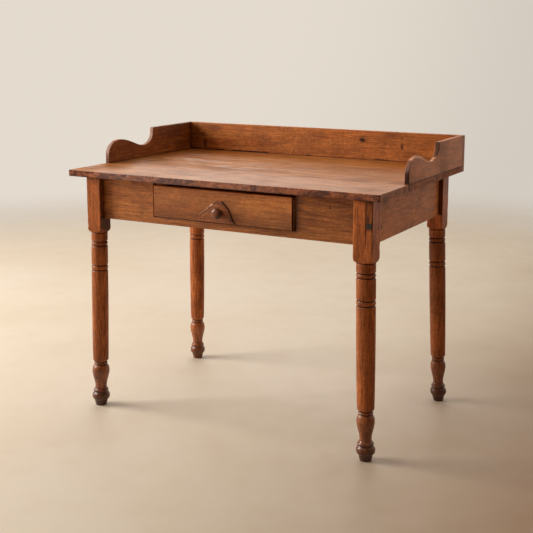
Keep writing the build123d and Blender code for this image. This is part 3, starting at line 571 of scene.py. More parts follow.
def iron(name, base, rust):
    mat = bpy.data.materials.new(name)
    T = Tree(mat)
    obj = T.add("ShaderNodeTexCoord").outputs["Object"]
    p = T.noise(obj, 420.0, 5.0, 0.65)
    q = T.noise(obj, 1500.0, 3.0, 0.6)
    c = T.mix(T.step(p, 0.42, 0.62), base, rust)
    c = T.mix(T.math("MULTIPLY", T.step(q, 0.5, 0.7), 0.5), c, lin(20, 16, 14))
    nrm = T.add("ShaderNodeBump", {"Strength": 0.6, "Distance": 0.0002, "Height": T.math("ADD", p, T.math("MULTIPLY", q, 0.5))}).outputs[0]
    bsdf = T.add("ShaderNodeBsdfPrincipled", {"Base Color": c, "Roughness": T.linear(p, 0.3, 0.7, 0.42, 0.75), "Normal": nrm, "Metallic": 0.55})
    T.add("ShaderNodeOutputMaterial", {0: bsdf.outputs[0]})
    return mat


# ---------------------------------------------------------------------------
# Finishes
# ---------------------------------------------------------------------------
EARLY, LATE = lin(187, 116, 58), lin(144, 73, 35)
STREAK, GRIME = lin(94, 45, 21), lin(98, 50, 25)
WORN = lin(200, 136, 84)
DARK = lin(36, 19, 12)
common = dict(early=EARLY, late=LATE, streak=STREAK, grime=GRIME, wear=WORN, dirt_and_shade=DARK, spec=0.28)
# lighter, greyer palette for the right-hand pieces, which face away from the window: painted light that lifts their
# shade and stands in for the sheen they show
painted_light_side_c = dict(early=lin(207, 130, 75), late=lin(165, 98, 56), streak=lin(109, 61, 37), grime=lin(109, 66, 42), wear=lin(188, 130, 92), dirt_and_shade=DARK,
              streak_k=0.4, fibre_k=0.28, late_k=0.3, mottle=0.12, spec=0.25)
leg_c = dict(early=lin(184, 106, 56), late=lin(130, 66, 35), streak=lin(80, 38, 19), grime=lin(82, 41, 22), wear=lin(190, 120, 70), dirt_and_shade=lin(28, 14, 10),
             stain_and_highlight=lin(66, 36, 18))


def turned_tone_and_light(post, shaft, vase):
    """Brightness of a leg's post, its long turned shaft and its lowest turnings; set leg by leg, it also paints the
    light and shade each leg stands in.
    """
    def tone(T, obj, patch):
        z = T.math("MULTIPLY_ADD", patch, 0.05, T.add("ShaderNodeSeparateXYZ", {0: obj}).outputs[2])
        low = T.linear(z, 0.03, 0.20, 0.66 * vase, shaft)
        return T.math("ADD", low, T.step(z, 0.555, 0.60, 0.0, post - shaft))
    return tone


def turned_sheen(low):
    """Hands and shoes have kept the lowest turnings polished."""
    def sheen(T, obj, stretched, rgh):
        z = T.add("ShaderNodeSeparateXYZ", {0: obj}).outputs[2]
        return T.step(z, 0.10, 0.17, low, 0.15), T.math("SUBTRACT", rgh, T.step(z, 0.10, 0.17, 0.10, 0.0))
    return sheen


def feet(k, worn_k):
    """Tool marks round the turning, and the dark brown that floor polish and scuffs have left on the lowest turnings."""
    def extra(T, obj, c, patch, fine, fibre):
        z = T.add("ShaderNodeSeparateXYZ", {0: obj}).outputs[2]
        turned = T.step(z, 0.552, 0.560, 1.0, 0.0)
        marks = T.step(T.noise1(z, 310.0, 3.0), 0.50, 0.70)
        c = T.mix(T.math("MULTIPLY", T.math("MULTIPLY", marks, turned), T.linear(patch, 0.3, 0.7, 0.10, 0.34)), c, lin(78, 36, 18))
        low = T.step(z, 0.14, 0.17, 1.0, 0.0)
        worn = T.noise(T.vec("MULTIPLY", obj, (1, 1, 0.6)), 46.0, 4.0, 0.6)
        c = T.mix(T.math("MULTIPLY", T.step(worn, 0.46, 0.66), T.math("MULTIPLY", low, worn_k)), c, lin(74, 31, 14))
        m = T.step(T.math("MULTIPLY_ADD", fine, 0.03, z), 0.026, 0.085, k, 0.0)
        return T.mix(m, c, lin(60, 33, 22))
    return extra


def polish(T, obj, stretched, rgh):
    """The top is shiniest along the middle of its front board; the rest has dried out in patches."""
    sep = T.add("ShaderNodeSeparateXYZ", {0: obj})
    x, y = sep.outputs[0], sep.outputs[1]
    m = T.math("MULTIPLY", T.step(y, -0.25, -0.07, 1.0, 0.0), T.step(x, -0.47, -0.30))
    m = T.math("MULTIPLY", m, T.step(x, 0.04, 0.38, 1.0, 0.30))
    n = T.noise(stretched(9.0, 34.0, 21.0), 1.0, 4.0, 0.6)
    rub = T.math("MULTIPLY", T.step(n, 0.48, 0.66), T.step(x, -0.1, 0.2, 1.0, 0.25))
    m = T.math("MAXIMUM", m, T.math("MULTIPLY", rub, 0.54))
    return T.linear(m, 0.0, 1.0, 0.045, 0.44), T.math("SUBTRACT", rgh, T.math("MULTIPLY", rub, 0.08))


M = {}
for i, (nm, leg) in enumerate(LEGS.items()):
    M[nm] = pine(nm + "_pine", "Z", ((leg[0] + leg[1]) / 2, (leg[2] + leg[3]) / 2, 350),
                 pith=((0.062, -0.028), (-0.05, 0.035), (0.04, 0.052), (0.055, 0.03))[i],
                 tilt=((0.02, -0.012), (-0.018, 0.015), (0.012, 0.02), (0.02, 0.01))[i], ring=0.0048, wobble=0.006,
                 seed=3.0 + i * 5.1, rough=0.38, fibre_k=0.4, mottle=0.2, extra=feet(*((0.76, 0.55), (0.74, 0.5), (0.42, 0.12), (0.42, 0.40))[i]),
                 sheen=turned_sheen((0.46, 0.44, 0.46, 0.36)[i]),
                 tone=turned_tone_and_light(*((0.90, 0.95, 0.80), (1.13, 0.97, 0.76), (1.1, 1.16, 0.92), (1.44, 0.97, 0.36))[i]),
                 # the dark patches on the front left post's right face below the apron, and high on the front right
                 # post's right face under the top, are painted shade
                 spots={0: [((-400.5, -304, 588), (5, 40, 34), lin(70, 40, 24), 0.85, 0.5)],
                        1: [((488, -300, 708), (9, 6, 16), lin(70, 42, 28), 0.55, 0.95), ((488, -312, 655), (9, 4, 40), lin(78, 44, 28), 0.4, 0.95),
                            ((487, -293, 648), (9, 2.6, 5.5), lin(20, 12, 9), 0.97, 0.35)],
                        3: [((487, 246, 668), (9, 5, 6), lin(58, 32, 22), 0.85, 0.6)]}.get(i, ()), **leg_c)

def flecked(T, obj, c, patch, fine, fibre):
    # small dark flecks, denser left of the middle
    x = T.add("ShaderNodeSeparateXYZ", {0: obj}).outputs[0]
    here = T.math("MULTIPLY", T.step(x, -0.36, -0.22), T.step(x, 0.02, 0.2, 1.0, 0.35))
    fl = T.noise(T.vec("MULTIPLY", obj, (1, 1, 0.55)), 190.0, 3.0, 0.62)
    m = T.math("MULTIPLY", T.step(fl, 0.56, 0.70), here)
    return T.mix(T.math("MULTIPLY", m, 0.5), c, lin(84, 38, 22))


def aged_ends(T, obj, c, patch, fine, fibre):
    # deeper and redder towards both ends
    x = T.math("ABSOLUTE", T.add("ShaderNodeSeparateXYZ", {0: obj}).outputs[0])
    return T.mix(T.step(x, 0.10, 0.44, 0.0, 0.95), c, T.mix(1.0, c, (0.94, 0.80, 0.62, 1.0), "MULTIPLY"))


def cracked(T, obj, c, patch, fine, fibre):
    # the front joint has opened at its right end, and old dirt lies along that end
    j = T.linear(fine, 0.2, 0.8, -0.3, 0.3)
    for at, radii, soft, k, colour in (((510, -132.5, 736), (6, 4.2, 15), 0.7, 0.85, lin(40, 23, 17)),
                                       ((510, -303, 731), (6, 34, 7), 0.95, 0.6, lin(62, 38, 30)),
                                       ((510, -232, 735), (6, 26, 6), 0.95, 0.5, lin(64, 40, 32)),
                                       ((510, -176, 730), (6, 22, 5), 0.95, 0.5, lin(64, 40, 32))):
        c = T.mix(T.math("MULTIPLY", spot(T, obj, at, radii, soft, j), k), c, colour)
    return c


def handled(T, obj, c, patch, fine, fibre):
    # hands have darkened and reddened the lower left of the drawer
    sep = T.add("ShaderNodeSeparateXYZ", {0: obj})
    low = T.step(T.math("MULTIPLY_ADD", patch, 0.03, sep.outputs[2]), 0.655, 0.695, 1.0, 0.0)
    return T.mix(T.math("MULTIPLY", low, T.step(sep.outputs[0], -0.02, 0.16, 1.0, 0.25)), c,
                 T.mix(1.0, c, (0.86, 0.72, 0.60, 1.0), "MULTIPLY"))


def top_tone(T, obj, patch):
    x = T.math("ABSOLUTE", T.add("ShaderNodeSeparateXYZ", {0: obj}).outputs[0])
    return T.step(x, 0.20, 0.46, 1.04, 0.88)


TOPC = dict(early=lin(198, 131, 71), late=lin(152, 89, 43), streak=lin(118, 64, 31), grime=lin(128, 77, 42), wear=lin(208, 158, 112), dirt_and_shade=DARK,
            stain_and_highlight=lin(74, 46, 43), ragged=True, dapple_k=0.06, fibre_k=0.28)
for i, nm in enumerate(("top_board_front", "top_board_middle", "top_board_rear")):
    M[nm] = pine(nm + "_pine", "X", (0, (-246, -32, 205)[i], 736), pith=((0.03, -0.09), (-0.06, -0.07), (0.02, -0.08))[i],
                 tilt=((0.01, 0.02), (-0.015, 0.01), (0.02, -0.012))[i], ring=0.0052, wobble=0.014,
                 seed=21.0 + i * 4.3, rough=0.52, sheen=polish, tone=top_tone if i else None,
                 spots=(((-330, -90, 745), (60, 26, 9), lin(122, 66, 34), 0.5, 0.9), ((-250, 10, 745), (90, 22, 9), lin(116, 62, 32), 0.5, 0.9),
                        ((250, 110, 745), (110, 26, 9), lin(116, 64, 34), 0.55, 0.9), ((120, 30, 745), (70, 20, 9), lin(128, 74, 40), 0.4, 0.9),
                        ((-120, -190, 745), (80, 20, 9), lin(140, 84, 48), 0.35, 0.9), ((330, -120, 745), (90, 30, 9), lin(134, 78, 42), 0.35, 0.9)),
                 **{**TOPC, **dict(extra=cracked if i < 2 else aged_ends)})

def apron_painted_shade(T, obj, patch):
    sep = T.add("ShaderNodeSeparateXYZ", {0: obj})
    x, z = sep.outputs[0], sep.outputs[2]
    # painted shade: darker towards the right, away from the window
    right = T.step(x, 0.06, 0.27, 1.0, 0.82)
    # painted shadow on the rail under the drawer's right half
    rail_shadow = T.math("MULTIPLY", T.step(z, 0.612, 0.628, 0.20, 0.0), T.math("MULTIPLY", T.step(x, -0.16, 0.12), T.step(x, 0.22, 0.30, 1.0, 0.0)))
    # painted shade under the top's overhang on the upper apron left of the opening
    shade = T.math("MULTIPLY", T.step(z, 0.672, 0.708, 0.0, 0.14), T.step(x, -0.24, -0.2, 1.0, 0.0))
    return T.math("SUBTRACT", T.math("SUBTRACT", right, rail_shadow), shade)


def drawer_painted_light(T, obj, patch):
    sep = T.add("ShaderNodeSeparateXYZ", {0: obj})
    x, z = sep.outputs[0], T.math("MULTIPLY_ADD", patch, 0.012, sep.outputs[2])
    # painted light: lighter towards the top, lifting the shade that the top's overhang casts, darker towards the
    # bottom, and a little darker at the left
    up = T.linear(z, 0.640, 0.700, 0.77, 1.44)
    return T.math("MULTIPLY", up, T.step(x, 0.02, 0.22, 0.90, 0.96))


def back_tone_and_shade(T, obj, patch):
    x = T.add("ShaderNodeSeparateXYZ", {0: obj}).outputs[0]
    # darker towards both ends; the darkening at the left end is painted shade from the left gallery end
    return T.math("MULTIPLY", T.step(x, 0.15, 0.42, 1.0, 0.84), T.step(x, -0.50, -0.36, 0.86, 1.0))


M["apron_front"] = pine("apron_front_pine", "X", (0, -299, 663), pith=(0.05, 0.012), tilt=(0.006, 0.012), seed=41.0, rough=0.46, tone=apron_painted_shade,
                        spots=[((353, -309, 693), (4.5, 6, 2.2), lin(44, 22, 14), 0.9, 0.6), ((352, -309, 698), (1.6, 6, 6), lin(60, 30, 18), 0.7, 0.7),
                               ((331, -309, 601), (5, 6, 2.4), lin(50, 26, 16), 0.85, 0.6)], **{**common, "dirt_and_shade": lin(48, 19, 9)})
M["apron_back"] = pine("apron_back_pine", "X", (0, 247, 663), pith=(-0.06, -0.02), tilt=(0.01, 0.01), seed=45.0, rough=0.5, **common)
# painted shade: the left apron faces the window and is darkened against the light it gets
M["apron_left"] = pine("apron_left_pine", "Y", (-428, 0, 663), pith=(0.05, -0.03), tilt=(0.01, -0.01), seed=49.0, rough=0.48,
                       tone=lambda T, obj, patch: T.linear(patch, 0.2, 0.8, 0.70, 0.80), **common)
M["apron_right"] = pine("apron_right_pine", "Y", (462, 0, 663), pith=(-0.055, 0.03), tilt=(0.012, 0.01), seed=53.0, rough=0.5,
                        spots=[((472, -118, 697), (8, 6, 4.5), lin(58, 34, 26), 0.85, 0.7), ((472, -16, 708), (8, 6, 4.5), lin(62, 38, 28), 0.75, 0.8),
                               ((472, 52, 676), (8, 9, 5), lin(76, 46, 32), 0.6, 0.85), ((472, 34, 648), (8, 5, 4), lin(64, 38, 28), 0.7, 0.8),
                               ((472, -236, 640), (8, 3.6, 9), lin(40, 22, 16), 0.9, 0.5), ((472, -190, 690), (8, 14, 5), lin(84, 50, 34), 0.45, 0.9),
                               # the two long dark bands just under the top are painted shade from the top's overhang
                               ((472, -206, 708), (8, 24, 8), lin(66, 40, 30), 0.6, 0.95), ((472, -110, 715), (8, 60, 4), lin(74, 46, 34), 0.5, 0.95),
                               ((472, -30, 662), (8, 30, 7), lin(86, 54, 40), 0.4, 0.95)], **painted_light_side_c)
M["gallery_back"] = pine("gallery_back_pine", "X", (0, 332, 790), pith=(0.045, 0.02), tilt=(0.01, 0.01), seed=57.0, rough=0.46,
                         spots=[((170, 324, 808), (17, 14, 11), lin(96, 50, 28), 0.75, 0.9), ((170, 324, 808), (10, 14, 7.5), lin(44, 25, 19), 0.95, 0.8),
                                ((306, 324, 821), (5.5, 8, 8), lin(60, 32, 21), 0.8, 0.95),
                                ((307.6, 324, 794), (6, 8, 13), lin(48, 26, 18), 0.9, 0.95),
                                # near the left end the dark patches and the dark upright mark (x -470 to -436) are
                                # painted shadow cast by the left gallery end
                                ((-436, 324, 768), (8, 8, 24), lin(42, 20, 13), 0.9, 0.95), ((-444, 324, 800), (9, 8, 9), lin(78, 38, 20), 0.6, 0.8),
                                ((-400, 324, 828), (40, 8, 7), lin(84, 42, 22), 0.5, 0.9), ((-470, 324, 800), (26, 8, 44), lin(88, 45, 25), 0.45, 0.95),
                                ((250, 324, 800), (7, 8, 5), lin(96, 50, 28), 0.6, 0.95), ((-120, 324, 790), (50, 8, 9), lin(110, 56, 27), 0.35, 0.9),
                                ((60, 324, 760), (70, 8, 7), lin(104, 52, 26), 0.35, 0.9)],
                         tone=back_tone_and_shade, mottle=0.2,
                         early=lin(200, 125, 62), late=lin(156, 80, 37), streak=lin(104, 47, 23), grime=lin(116, 57, 28), wear=WORN, dirt_and_shade=DARK, spec=0.25,
                         streak_k=0.42, fibre_k=0.36, extra=flecked)
def left_tone_and_shade(T, obj, patch):
    sep = T.add("ShaderNodeSeparateXYZ", {0: obj})
    # darker towards the back, and the outer face, which faces the window, darkened as painted shade
    return T.math("MULTIPLY", T.step(sep.outputs[1], 0.0, 0.26, 1.04, 0.80), T.step(sep.outputs[0], -0.5095, -0.5075, 0.78, 1.0))


# the pale stain colour paints a highlight on the front end grain and the risers
M["gallery_left"] = pine("gallery_left_pine", "Y", (-503, 90, 790), tone=left_tone_and_shade, pith=(0.05, 0.02), tilt=(0.01, 0.014), seed=61.0, rough=0.46, stain_and_highlight=lin(170, 140, 126), **common)
M["gallery_right"] = pine("gallery_right_pine", "Y", (503, 90, 790), pith=(-0.05, 0.018), tilt=(0.012, 0.01), seed=65.0, rough=0.5,
                          spots=[((510, 180, 815), (8, 5, 5), lin(60, 36, 28), 0.8, 0.7)], stain_and_highlight=lin(58, 34, 31), **painted_light_side_c)
M["drawer_front"] = pine("drawer_front_pine", "X", (15, -300, 668), pith=(0.06, 0.004), tilt=(0.004, 0.004), seed=69.0, rough=0.44,
                         early=lin(182, 114, 56), late=lin(149, 84, 40), streak=lin(112, 58, 29), grime=lin(116, 65, 33), wear=WORN, dirt_and_shade=lin(42, 15, 6), streak_k=0.42,
                         tone=drawer_painted_light, extra=handled)
# the pale stain colour is a painted highlight along the left slope
M["plate"] = pine("plate_pine", "X", (12, -312, 655), pith=(0.03, 0.01), seed=73.0, rough=0.46, spec=0.3,
                  early=lin(176, 102, 54), late=lin(132, 72, 38), streak=lin(104, 56, 34), grime=lin(106, 62, 40), wear=lin(206, 146, 100), dirt_and_shade=DARK, wear_k=0.7,
                  stain_and_highlight=lin(228, 172, 136))
M["knob"] = pine("knob_wood", "Y", (10, -325, 652), pith=(0.02, 0.006), ring=0.0022, seed=77.0, rough=0.36, spec=0.36, coat=0.10, coat_rough=0.22,
                 early=lin(130, 68, 32), late=lin(92, 44, 21), streak=lin(74, 37, 20), grime=lin(63, 33, 19), wear=lin(150, 100, 66), dirt_and_shade=lin(24, 14, 10))
inner = dict(early=lin(200, 142, 88), late=lin(160, 102, 58), streak=lin(140, 88, 52), grime=lin(128, 86, 56), wear=lin(206, 156, 108), dirt_and_shade=lin(60, 40, 28))
M["inner_x"] = pine("inner_x_pine", "X", (0, 60, 650), pith=(0.05, -0.05), seed=81.0, rough=0.62, **inner)
M["inner_y"] = pine("inner_y_pine", "Y", (10, 0, 650), pith=(0.06, -0.04), seed=85.0, rough=0.62, **inner)
M["plug"] = pine("plug_wood", "Y", (476, -330, 658), pith=(0.01, 0.01), ring=0.0016, seed=89.0, rough=0.6,
                 early=lin(66, 48, 40), late=lin(44, 32, 28), streak=lin(40, 28, 24), grime=lin(30, 24, 22), wear=lin(90, 64, 50), dirt_and_shade=lin(20, 16, 14))
M["iron"] = iron("nail_iron", lin(58, 52, 48), lin(88, 50, 30))


# ---------------------------------------------------------------------------
# Legs
# ---------------------------------------------------------------------------
def leg_rings():
    """(radius, height) up the turning, from the foot."""
    out = [(16.2, 1.2)]
    out += resample([(16.2, 1.2), (19.7, 15.8)], 2.5)[1:].tolist()
    out += [(19.9, 16.8), (20.4, 17.8)]
    out += catmull([(21.3, 18.6), (24.9, 24.0), (26.0, 31.0), (24.4, 38.0), (20.8, 42.6)], 5).tolist()
    out += [(20.1, 43.6), (20.2, 44.4), (21.0, 44.9)]
    out += catmull([(21.3, 45.3), (22.3, 47.8), (21.6, 51.2), (18.8, 54.2)], 4).tolist()
    out += catmull([(18.4, 54.9), (17.4, 60.0), (17.8, 70.0), (20.4, 83.0), (23.9, 97.0), (25.9, 110.0),
                    (25.5, 119.0), (23.2, 126.8), (20.0, 131.0)], (3, 5, 6, 6, 6, 4, 4, 3)).tolist()
    out += [(18.9, 132.2), (18.3, 133.2), (18.7, 134.4)]
    out += catmull([(19.0, 134.9), (20.6, 137.4), (19.0, 140.0)], 4).tolist()
    out += [(18.6, 141.2), (18.3, 142.4), (19.4, 143.9), (21.4, 145.6), (22.6, 147.0)]
    out += catmull([(23.4, 149.4), (24.4, 200.0), (25.1, 262.0), (25.7, 340.0), (25.9, 428.0)], (12, 14, 16, 18)).tolist()
    for z0 in (434.6, 511.6):
        # two V cuts with a bead between
        g0, g1 = (437.2, 452.8) if z0 < 500 else (514.2, 527.2)
        out += [(25.85, z0 - 1.6), (25.6, z0 - 0.4), (24.9, z0 + 0.9), (23.6, g0 - 0.35), (23.3, g0), (23.5, g0 + 0.4), (24.1, g0 + 1.5)]
        mid = (g0 + g1) / 2
        out += catmull([(24.6, g0 + 2.3), (25.75, g0 + 4.6), (26.0, mid), (25.75, g1 - 4.6), (24.6, g1 - 2.3)], 4).tolist()
        out += [(24.1, g1 - 1.5), (23.5, g1 - 0.4), (23.3, g1), (23.6, g1 + 0.4), (24.9, g1 + 1.8), (25.7, g1 + 3.0), (26.0, g1 + 4.6)]
        if z0 < 500:
            out += resample([(26.0, g1 + 4.6), (26.0, 508.0)], 6.0)[1:].tolist()
    out += resample([(26.0, 531.8), (26.0, 552.0)], 5.0)[1:].tolist()
    out += [(25.7, 553.4), (24.7, 554.6), (24.4, 555.4), (25.0, 555.9)]
    return np.array(out)


LEG = leg_rings()
SHOULDER = catmull([(26.2, 556.3), (31.6, 559.4), (35.2, 564.2), (37.4, 570.2)], 5)
POST_ROWS = np.concatenate([resample([(60, 572.0), (60, 720.0)], 4.0)[:, 1], [722.5, UNDER - 0.8, UNDER]])


def make_leg(name, seed, crack=False):
    x0, x1, y0, y1, turn, (lx, ly) = LEGS[name]
    hx, hy = (x1 - x0) / 2, (y1 - y0) / 2
    cx, cy = (x0 + x1) / 2, (y0 + y1) / 2
    rng = np.random.RandomState(seed)
    # directions round the post, close together at its arrises
    th = []
    for q in range(4):
        h, d = (hx, hy) if q % 2 == 0 else (hy, hx)
        across = np.linspace(-(h - 3.2), h - 3.2, 13).tolist()
        if crack and q == 0:
            across = sorted(across + [7.3, 7.9, 8.3, 8.8, 9.5])
        mid = -math.pi / 2 + q * math.pi / 2
        th += [mid + math.atan2(t, d) for t in across]
        lo, hi = mid + math.atan2(h - 3.2, d), mid + math.pi / 2 - math.atan2(d - 3.2, h)
        th += [lo + (hi - lo) * f for f in (0.28, 0.5, 0.72)]
    th = np.array(th)
    nt = len(th)
    grow = math.hypot(hx, hy) / 36.77
    k_foot, k_post, k_vase = turn
    size = k_foot + (k_post - k_foot) * LEG[:, 1] / POST_Z
    size = size * np.where((LEG[:, 1] > 56) & (LEG[:, 1] < 130.5), k_vase, 1.0)
    turn = k_foot
    R = np.concatenate([LEG[:, 0] * size, SHOULDER[:, 0] * grow, np.full(len(POST_ROWS), 99.0)])
    Z = np.concatenate([LEG[:, 1], SHOULDER[:, 1], POST_ROWS])
    square_on = np.concatenate([np.zeros(len(LEG)), np.ones(len(SHOULDER) + len(POST_ROWS))])
    Tn, Zn = np.meshgrid(th, Z)
    Rn = np.repeat(R[:, None], nt, 1)
    # worn arrises of the square post
    wearr = fbm(np.stack([np.sign(np.cos(Tn)).ravel() * 3, np.sign(np.sin(Tn)).ravel() * 3, Zn.ravel() / 17.0], 1), seed, 4).reshape(Tn.shape)
    ra = 2.0 * (0.55 + 1.1 * wearr) + 1.5 * smooth(wearr, 0.62, 0.8)
    ac, as_ = np.abs(np.cos(Tn)), np.abs(np.sin(Tn))
    flat = np.minimum(hx / np.maximum(ac, 1e-9), hy / np.maximum(as_, 1e-9))
    bx, by = hx - ra, hy - ra
    dc = bx * ac + by * as_
    arc = dc + np.sqrt(np.maximum(dc ** 2 - (bx ** 2 + by ** 2 - ra ** 2), 0))
    corner = (flat * ac > hx - ra) & (flat * as_ > hy - ra)
    sq = np.where(corner, arc, flat)
    Rs = np.where(square_on[:, None] > 0, np.minimum(sq, Rn), Rn)
    edge = np.where((square_on[:, None] > 0) & corner & (Rn > sq), 1.0, 0.0)
    # a lathe-turned surface is never quite true: slight ovality, tool ripple, bruises
    ang = np.stack([np.cos(Tn).ravel() * 1.1, np.sin(Tn).ravel() * 1.1, Zn.ravel() / 60.0], 1)
    low = (fbm(ang, seed + 5, 3).reshape(Tn.shape) - 0.5) * 0.5
    ripple = (noise(np.stack([np.cos(Tn).ravel() * 0.4, np.sin(Tn).ravel() * 0.4, Zn.ravel() / 2.2], 1), seed + 9).reshape(Tn.shape) - 0.5) * 0.12
    turned = 1 - square_on[:, None]
    Rs = Rs + (low - 0.25) * (0.3 + 0.7 * turned) + ripple * turned
    dents = np.zeros_like(Rs)
    for _ in range(34):
        tz, tt = rng.uniform(20, 715), rng.uniform(-math.pi, math.pi)
        sz, st, dep = rng.uniform(2, 7), rng.uniform(0.05, 0.16), rng.uniform(0.25, 0.8)
        dth = np.angle(np.exp(1j * (Tn - tt)))
        dents += dep * np.exp(-((Zn - tz) / sz) ** 2 - (dth / st) ** 2)
    Rs = Rs - dents
    X = Rs * np.cos(Tn)
    Y = Rs * np.sin(Tn)
    dirt_and_shade = np.zeros_like(Rs)
    # dirt lies in the cuts: a ring well inside its neighbours
    for k in range(len(Z)):
        near = np.abs(Z - Z[k]) < 5.0
        if not square_on[k]:
            above, below = near & (Z > Z[k]), near & (Z < Z[k])
            deep = min(R[above].max() if above.any() else 0, R[below].max() if below.any() else 0, 27.0) - R[k]
            dirt_and_shade[k] = np.clip(deep / 1.7, 0, 1) * 0.9
    nn = fbm(np.stack([np.cos(Tn).ravel() * 2.2, np.sin(Tn).ravel() * 2.2, Zn.ravel() / 12.0], 1), seed + 15, 4).reshape(Tn.shape)
    dirt_and_shade = np.maximum(dirt_and_shade, smooth(Zn, UNDER - 7, UNDER) * 0.7 * smooth(nn, 0.25, 0.6))
    dirt_and_shade = np.maximum(dirt_and_shade, 0.55 * smooth(nn, 0.58, 0.72) * (1 - smooth(Zn, 40, 70)))
    # painted shadow line under the shoulder
    dirt_and_shade = np.maximum(dirt_and_shade, 0.5 * np.exp(-((Zn - 556.0) / 1.3) ** 2))
    # painted shade in the step between the posts and the aprons, where the post's side is in shadow
    if name == "leg_front_left":
        dirt_and_shade = np.maximum(dirt_and_shade, 0.62 * ((X > hx - 1.0) & (Y < AFY - cy + 2.5) & (Zn > 601)) * smooth(nn, 0.1, 0.4))
    if name == "leg_back_right":
        dirt_and_shade = np.maximum(dirt_and_shade, 0.80 * ((Y < -hy + 1.0) & (X > ARX - cx - 2.5) & (X < hx - 1.5) & (Zn > 601)))
    if crack:
        at = 8.3
        front = (np.abs(Y + hy) < 2.6) & (square_on[:, None] > 0) & (Zn > 590)
        g = np.exp(-((X - at) / 0.55) ** 2) * smooth(Zn, 596, 622)
        strip = (X > at + 0.2) * smooth(Zn, 588, 606)
        Y = Y + np.where(front, 1.6 * g + 0.35 * strip, 0)
        dirt_and_shade = np.maximum(dirt_and_shade, np.where(front, 0.95 * np.exp(-((X - at) / 0.9) ** 2) * smooth(Zn, 590, 622), 0))
        nz_ = fbm(np.stack([X.ravel() / 4.0, Y.ravel() * 0, Zn.ravel() / 26.0], 1), seed + 21, 4).reshape(Tn.shape)
        stain_and_highlight = np.where(front, smooth(X, at - 0.2, at + 1.0) * (0.35 + 0.65 * smooth(Zn, 640, 650)) * smooth(Zn, 586, 625) * (0.6 + 0.4 * smooth(nz_, 0.35, 0.6)), 0)
        stain_and_highlight = np.maximum(stain_and_highlight, np.where(front & (X > at), 0.9 * smooth(Zn, 712, 720), 0))
    else:
        stain_and_highlight = np.zeros_like(Rs)
    s = np.clip(1 - Zn / POST_Z, 0, 1)
    P = np.stack([(cx + X + lx * s).ravel(), (cy + Y + ly * s).ravel(), Zn.ravel()], 1)
    nz = len(Z)
    k, j = np.meshgrid(np.arange(nz - 1), np.arange(nt), indexing="ij")
    j2 = (j + 1) % nt
    quads = np.stack([(k * nt + j), (k * nt + j2), ((k + 1) * nt + j2), ((k + 1) * nt + j)], -1).reshape(-1, 4)
    extra, extra_f, tris = [], [], []
    # foot: a small round under the rim, then rings to the middle; top: rings to the middle
    if crack:
        edge = edge * (1 - np.clip(stain_and_highlight * 1.6, 0, 1))
    attrs = {"edge": edge.ravel(), "dirt_and_shade": dirt_and_shade.ravel(), "stain_and_highlight": stain_and_highlight.ravel()}
    base = len(P)
    fx, fy = cx + lx, cy + ly
    rings = [(15.5, 0.2), (14.0, 0.0), (9.0, 0.0), (4.0, 0.0)]
    for r, z in rings:
        extra.append(np.stack([fx + turn * r * np.cos(th), fy + turn * r * np.sin(th), np.full(nt, z)], 1))
    j = np.arange(nt)
    j2 = (j + 1) % nt
    prev = 0
    for n in range(len(rings)):
        cur = base + n * nt
        extra_f.append(np.stack([cur + j, cur + j2, prev + j2, prev + j], 1))
        prev = cur
    centre = base + len(rings) * nt
    extra.append(np.array([[fx, fy, 0.0]]))
    tris.append(np.stack([np.full(nt, centre), prev + j2, prev + j], 1))
    base2 = centre + 1
    last = (nz - 1) * nt
    for n, f in enumerate((0.7, 0.35)):
        extra.append(np.stack([cx + X[-1] * f, cy + Y[-1] * f, np.full(nt, Z[-1])], 1))
        cur = base2 + n * nt
        src = last if n == 0 else base2 + (n - 1) * nt
        extra_f.append(np.stack([src + j, src + j2, cur + j2, cur + j], 1))
    tip = base2 + 2 * nt
    extra.append(np.array([[cx, cy, Z[-1]]]))
    tris.append(np.stack([np.full(nt, tip), base2 + nt + j, base2 + nt + j2], 1))
    P = np.concatenate([P] + extra)
    pad = len(P) - len(attrs["edge"])
    attrs = {a: np.concatenate([v, np.zeros(pad)]) for a, v in attrs.items()}
    make_piece(name + "_wood", P, [np.concatenate([quads] + extra_f), np.concatenate(tris)], "table", M[name], (name,), attrs)


make_leg("leg_front_left", 11)
make_leg("leg_front_right", 23, crack=True)
make_leg("leg_back_left", 37)
make_leg("leg_back_right", 53)


# ---------------------------------------------------------------------------
# Top boards
# ---------------------------------------------------------------------------
def stain_along(x, seed):
    """Dark patches along the worn front edge, 0..1 by x (mm)."""
    v = np.zeros_like(x)
    for a, b, k in ((-500, -415, 0.9), (-380, -290, 0.85), (-262, -215, 0.55), (-190, -60, 0.95), (-10, 40, 0.5), (90, 150, 0.5),
                    (205, 235, 0.45), (300, 362, 1.0), (395, 420, 0.55), (455, 470, 0.5), (484, 512, 0.95)):
        v = np.maximum(v, k * smooth(x, a - 8, a + 8) * (1 - smooth(x, b - 8, b + 8)))
    return v


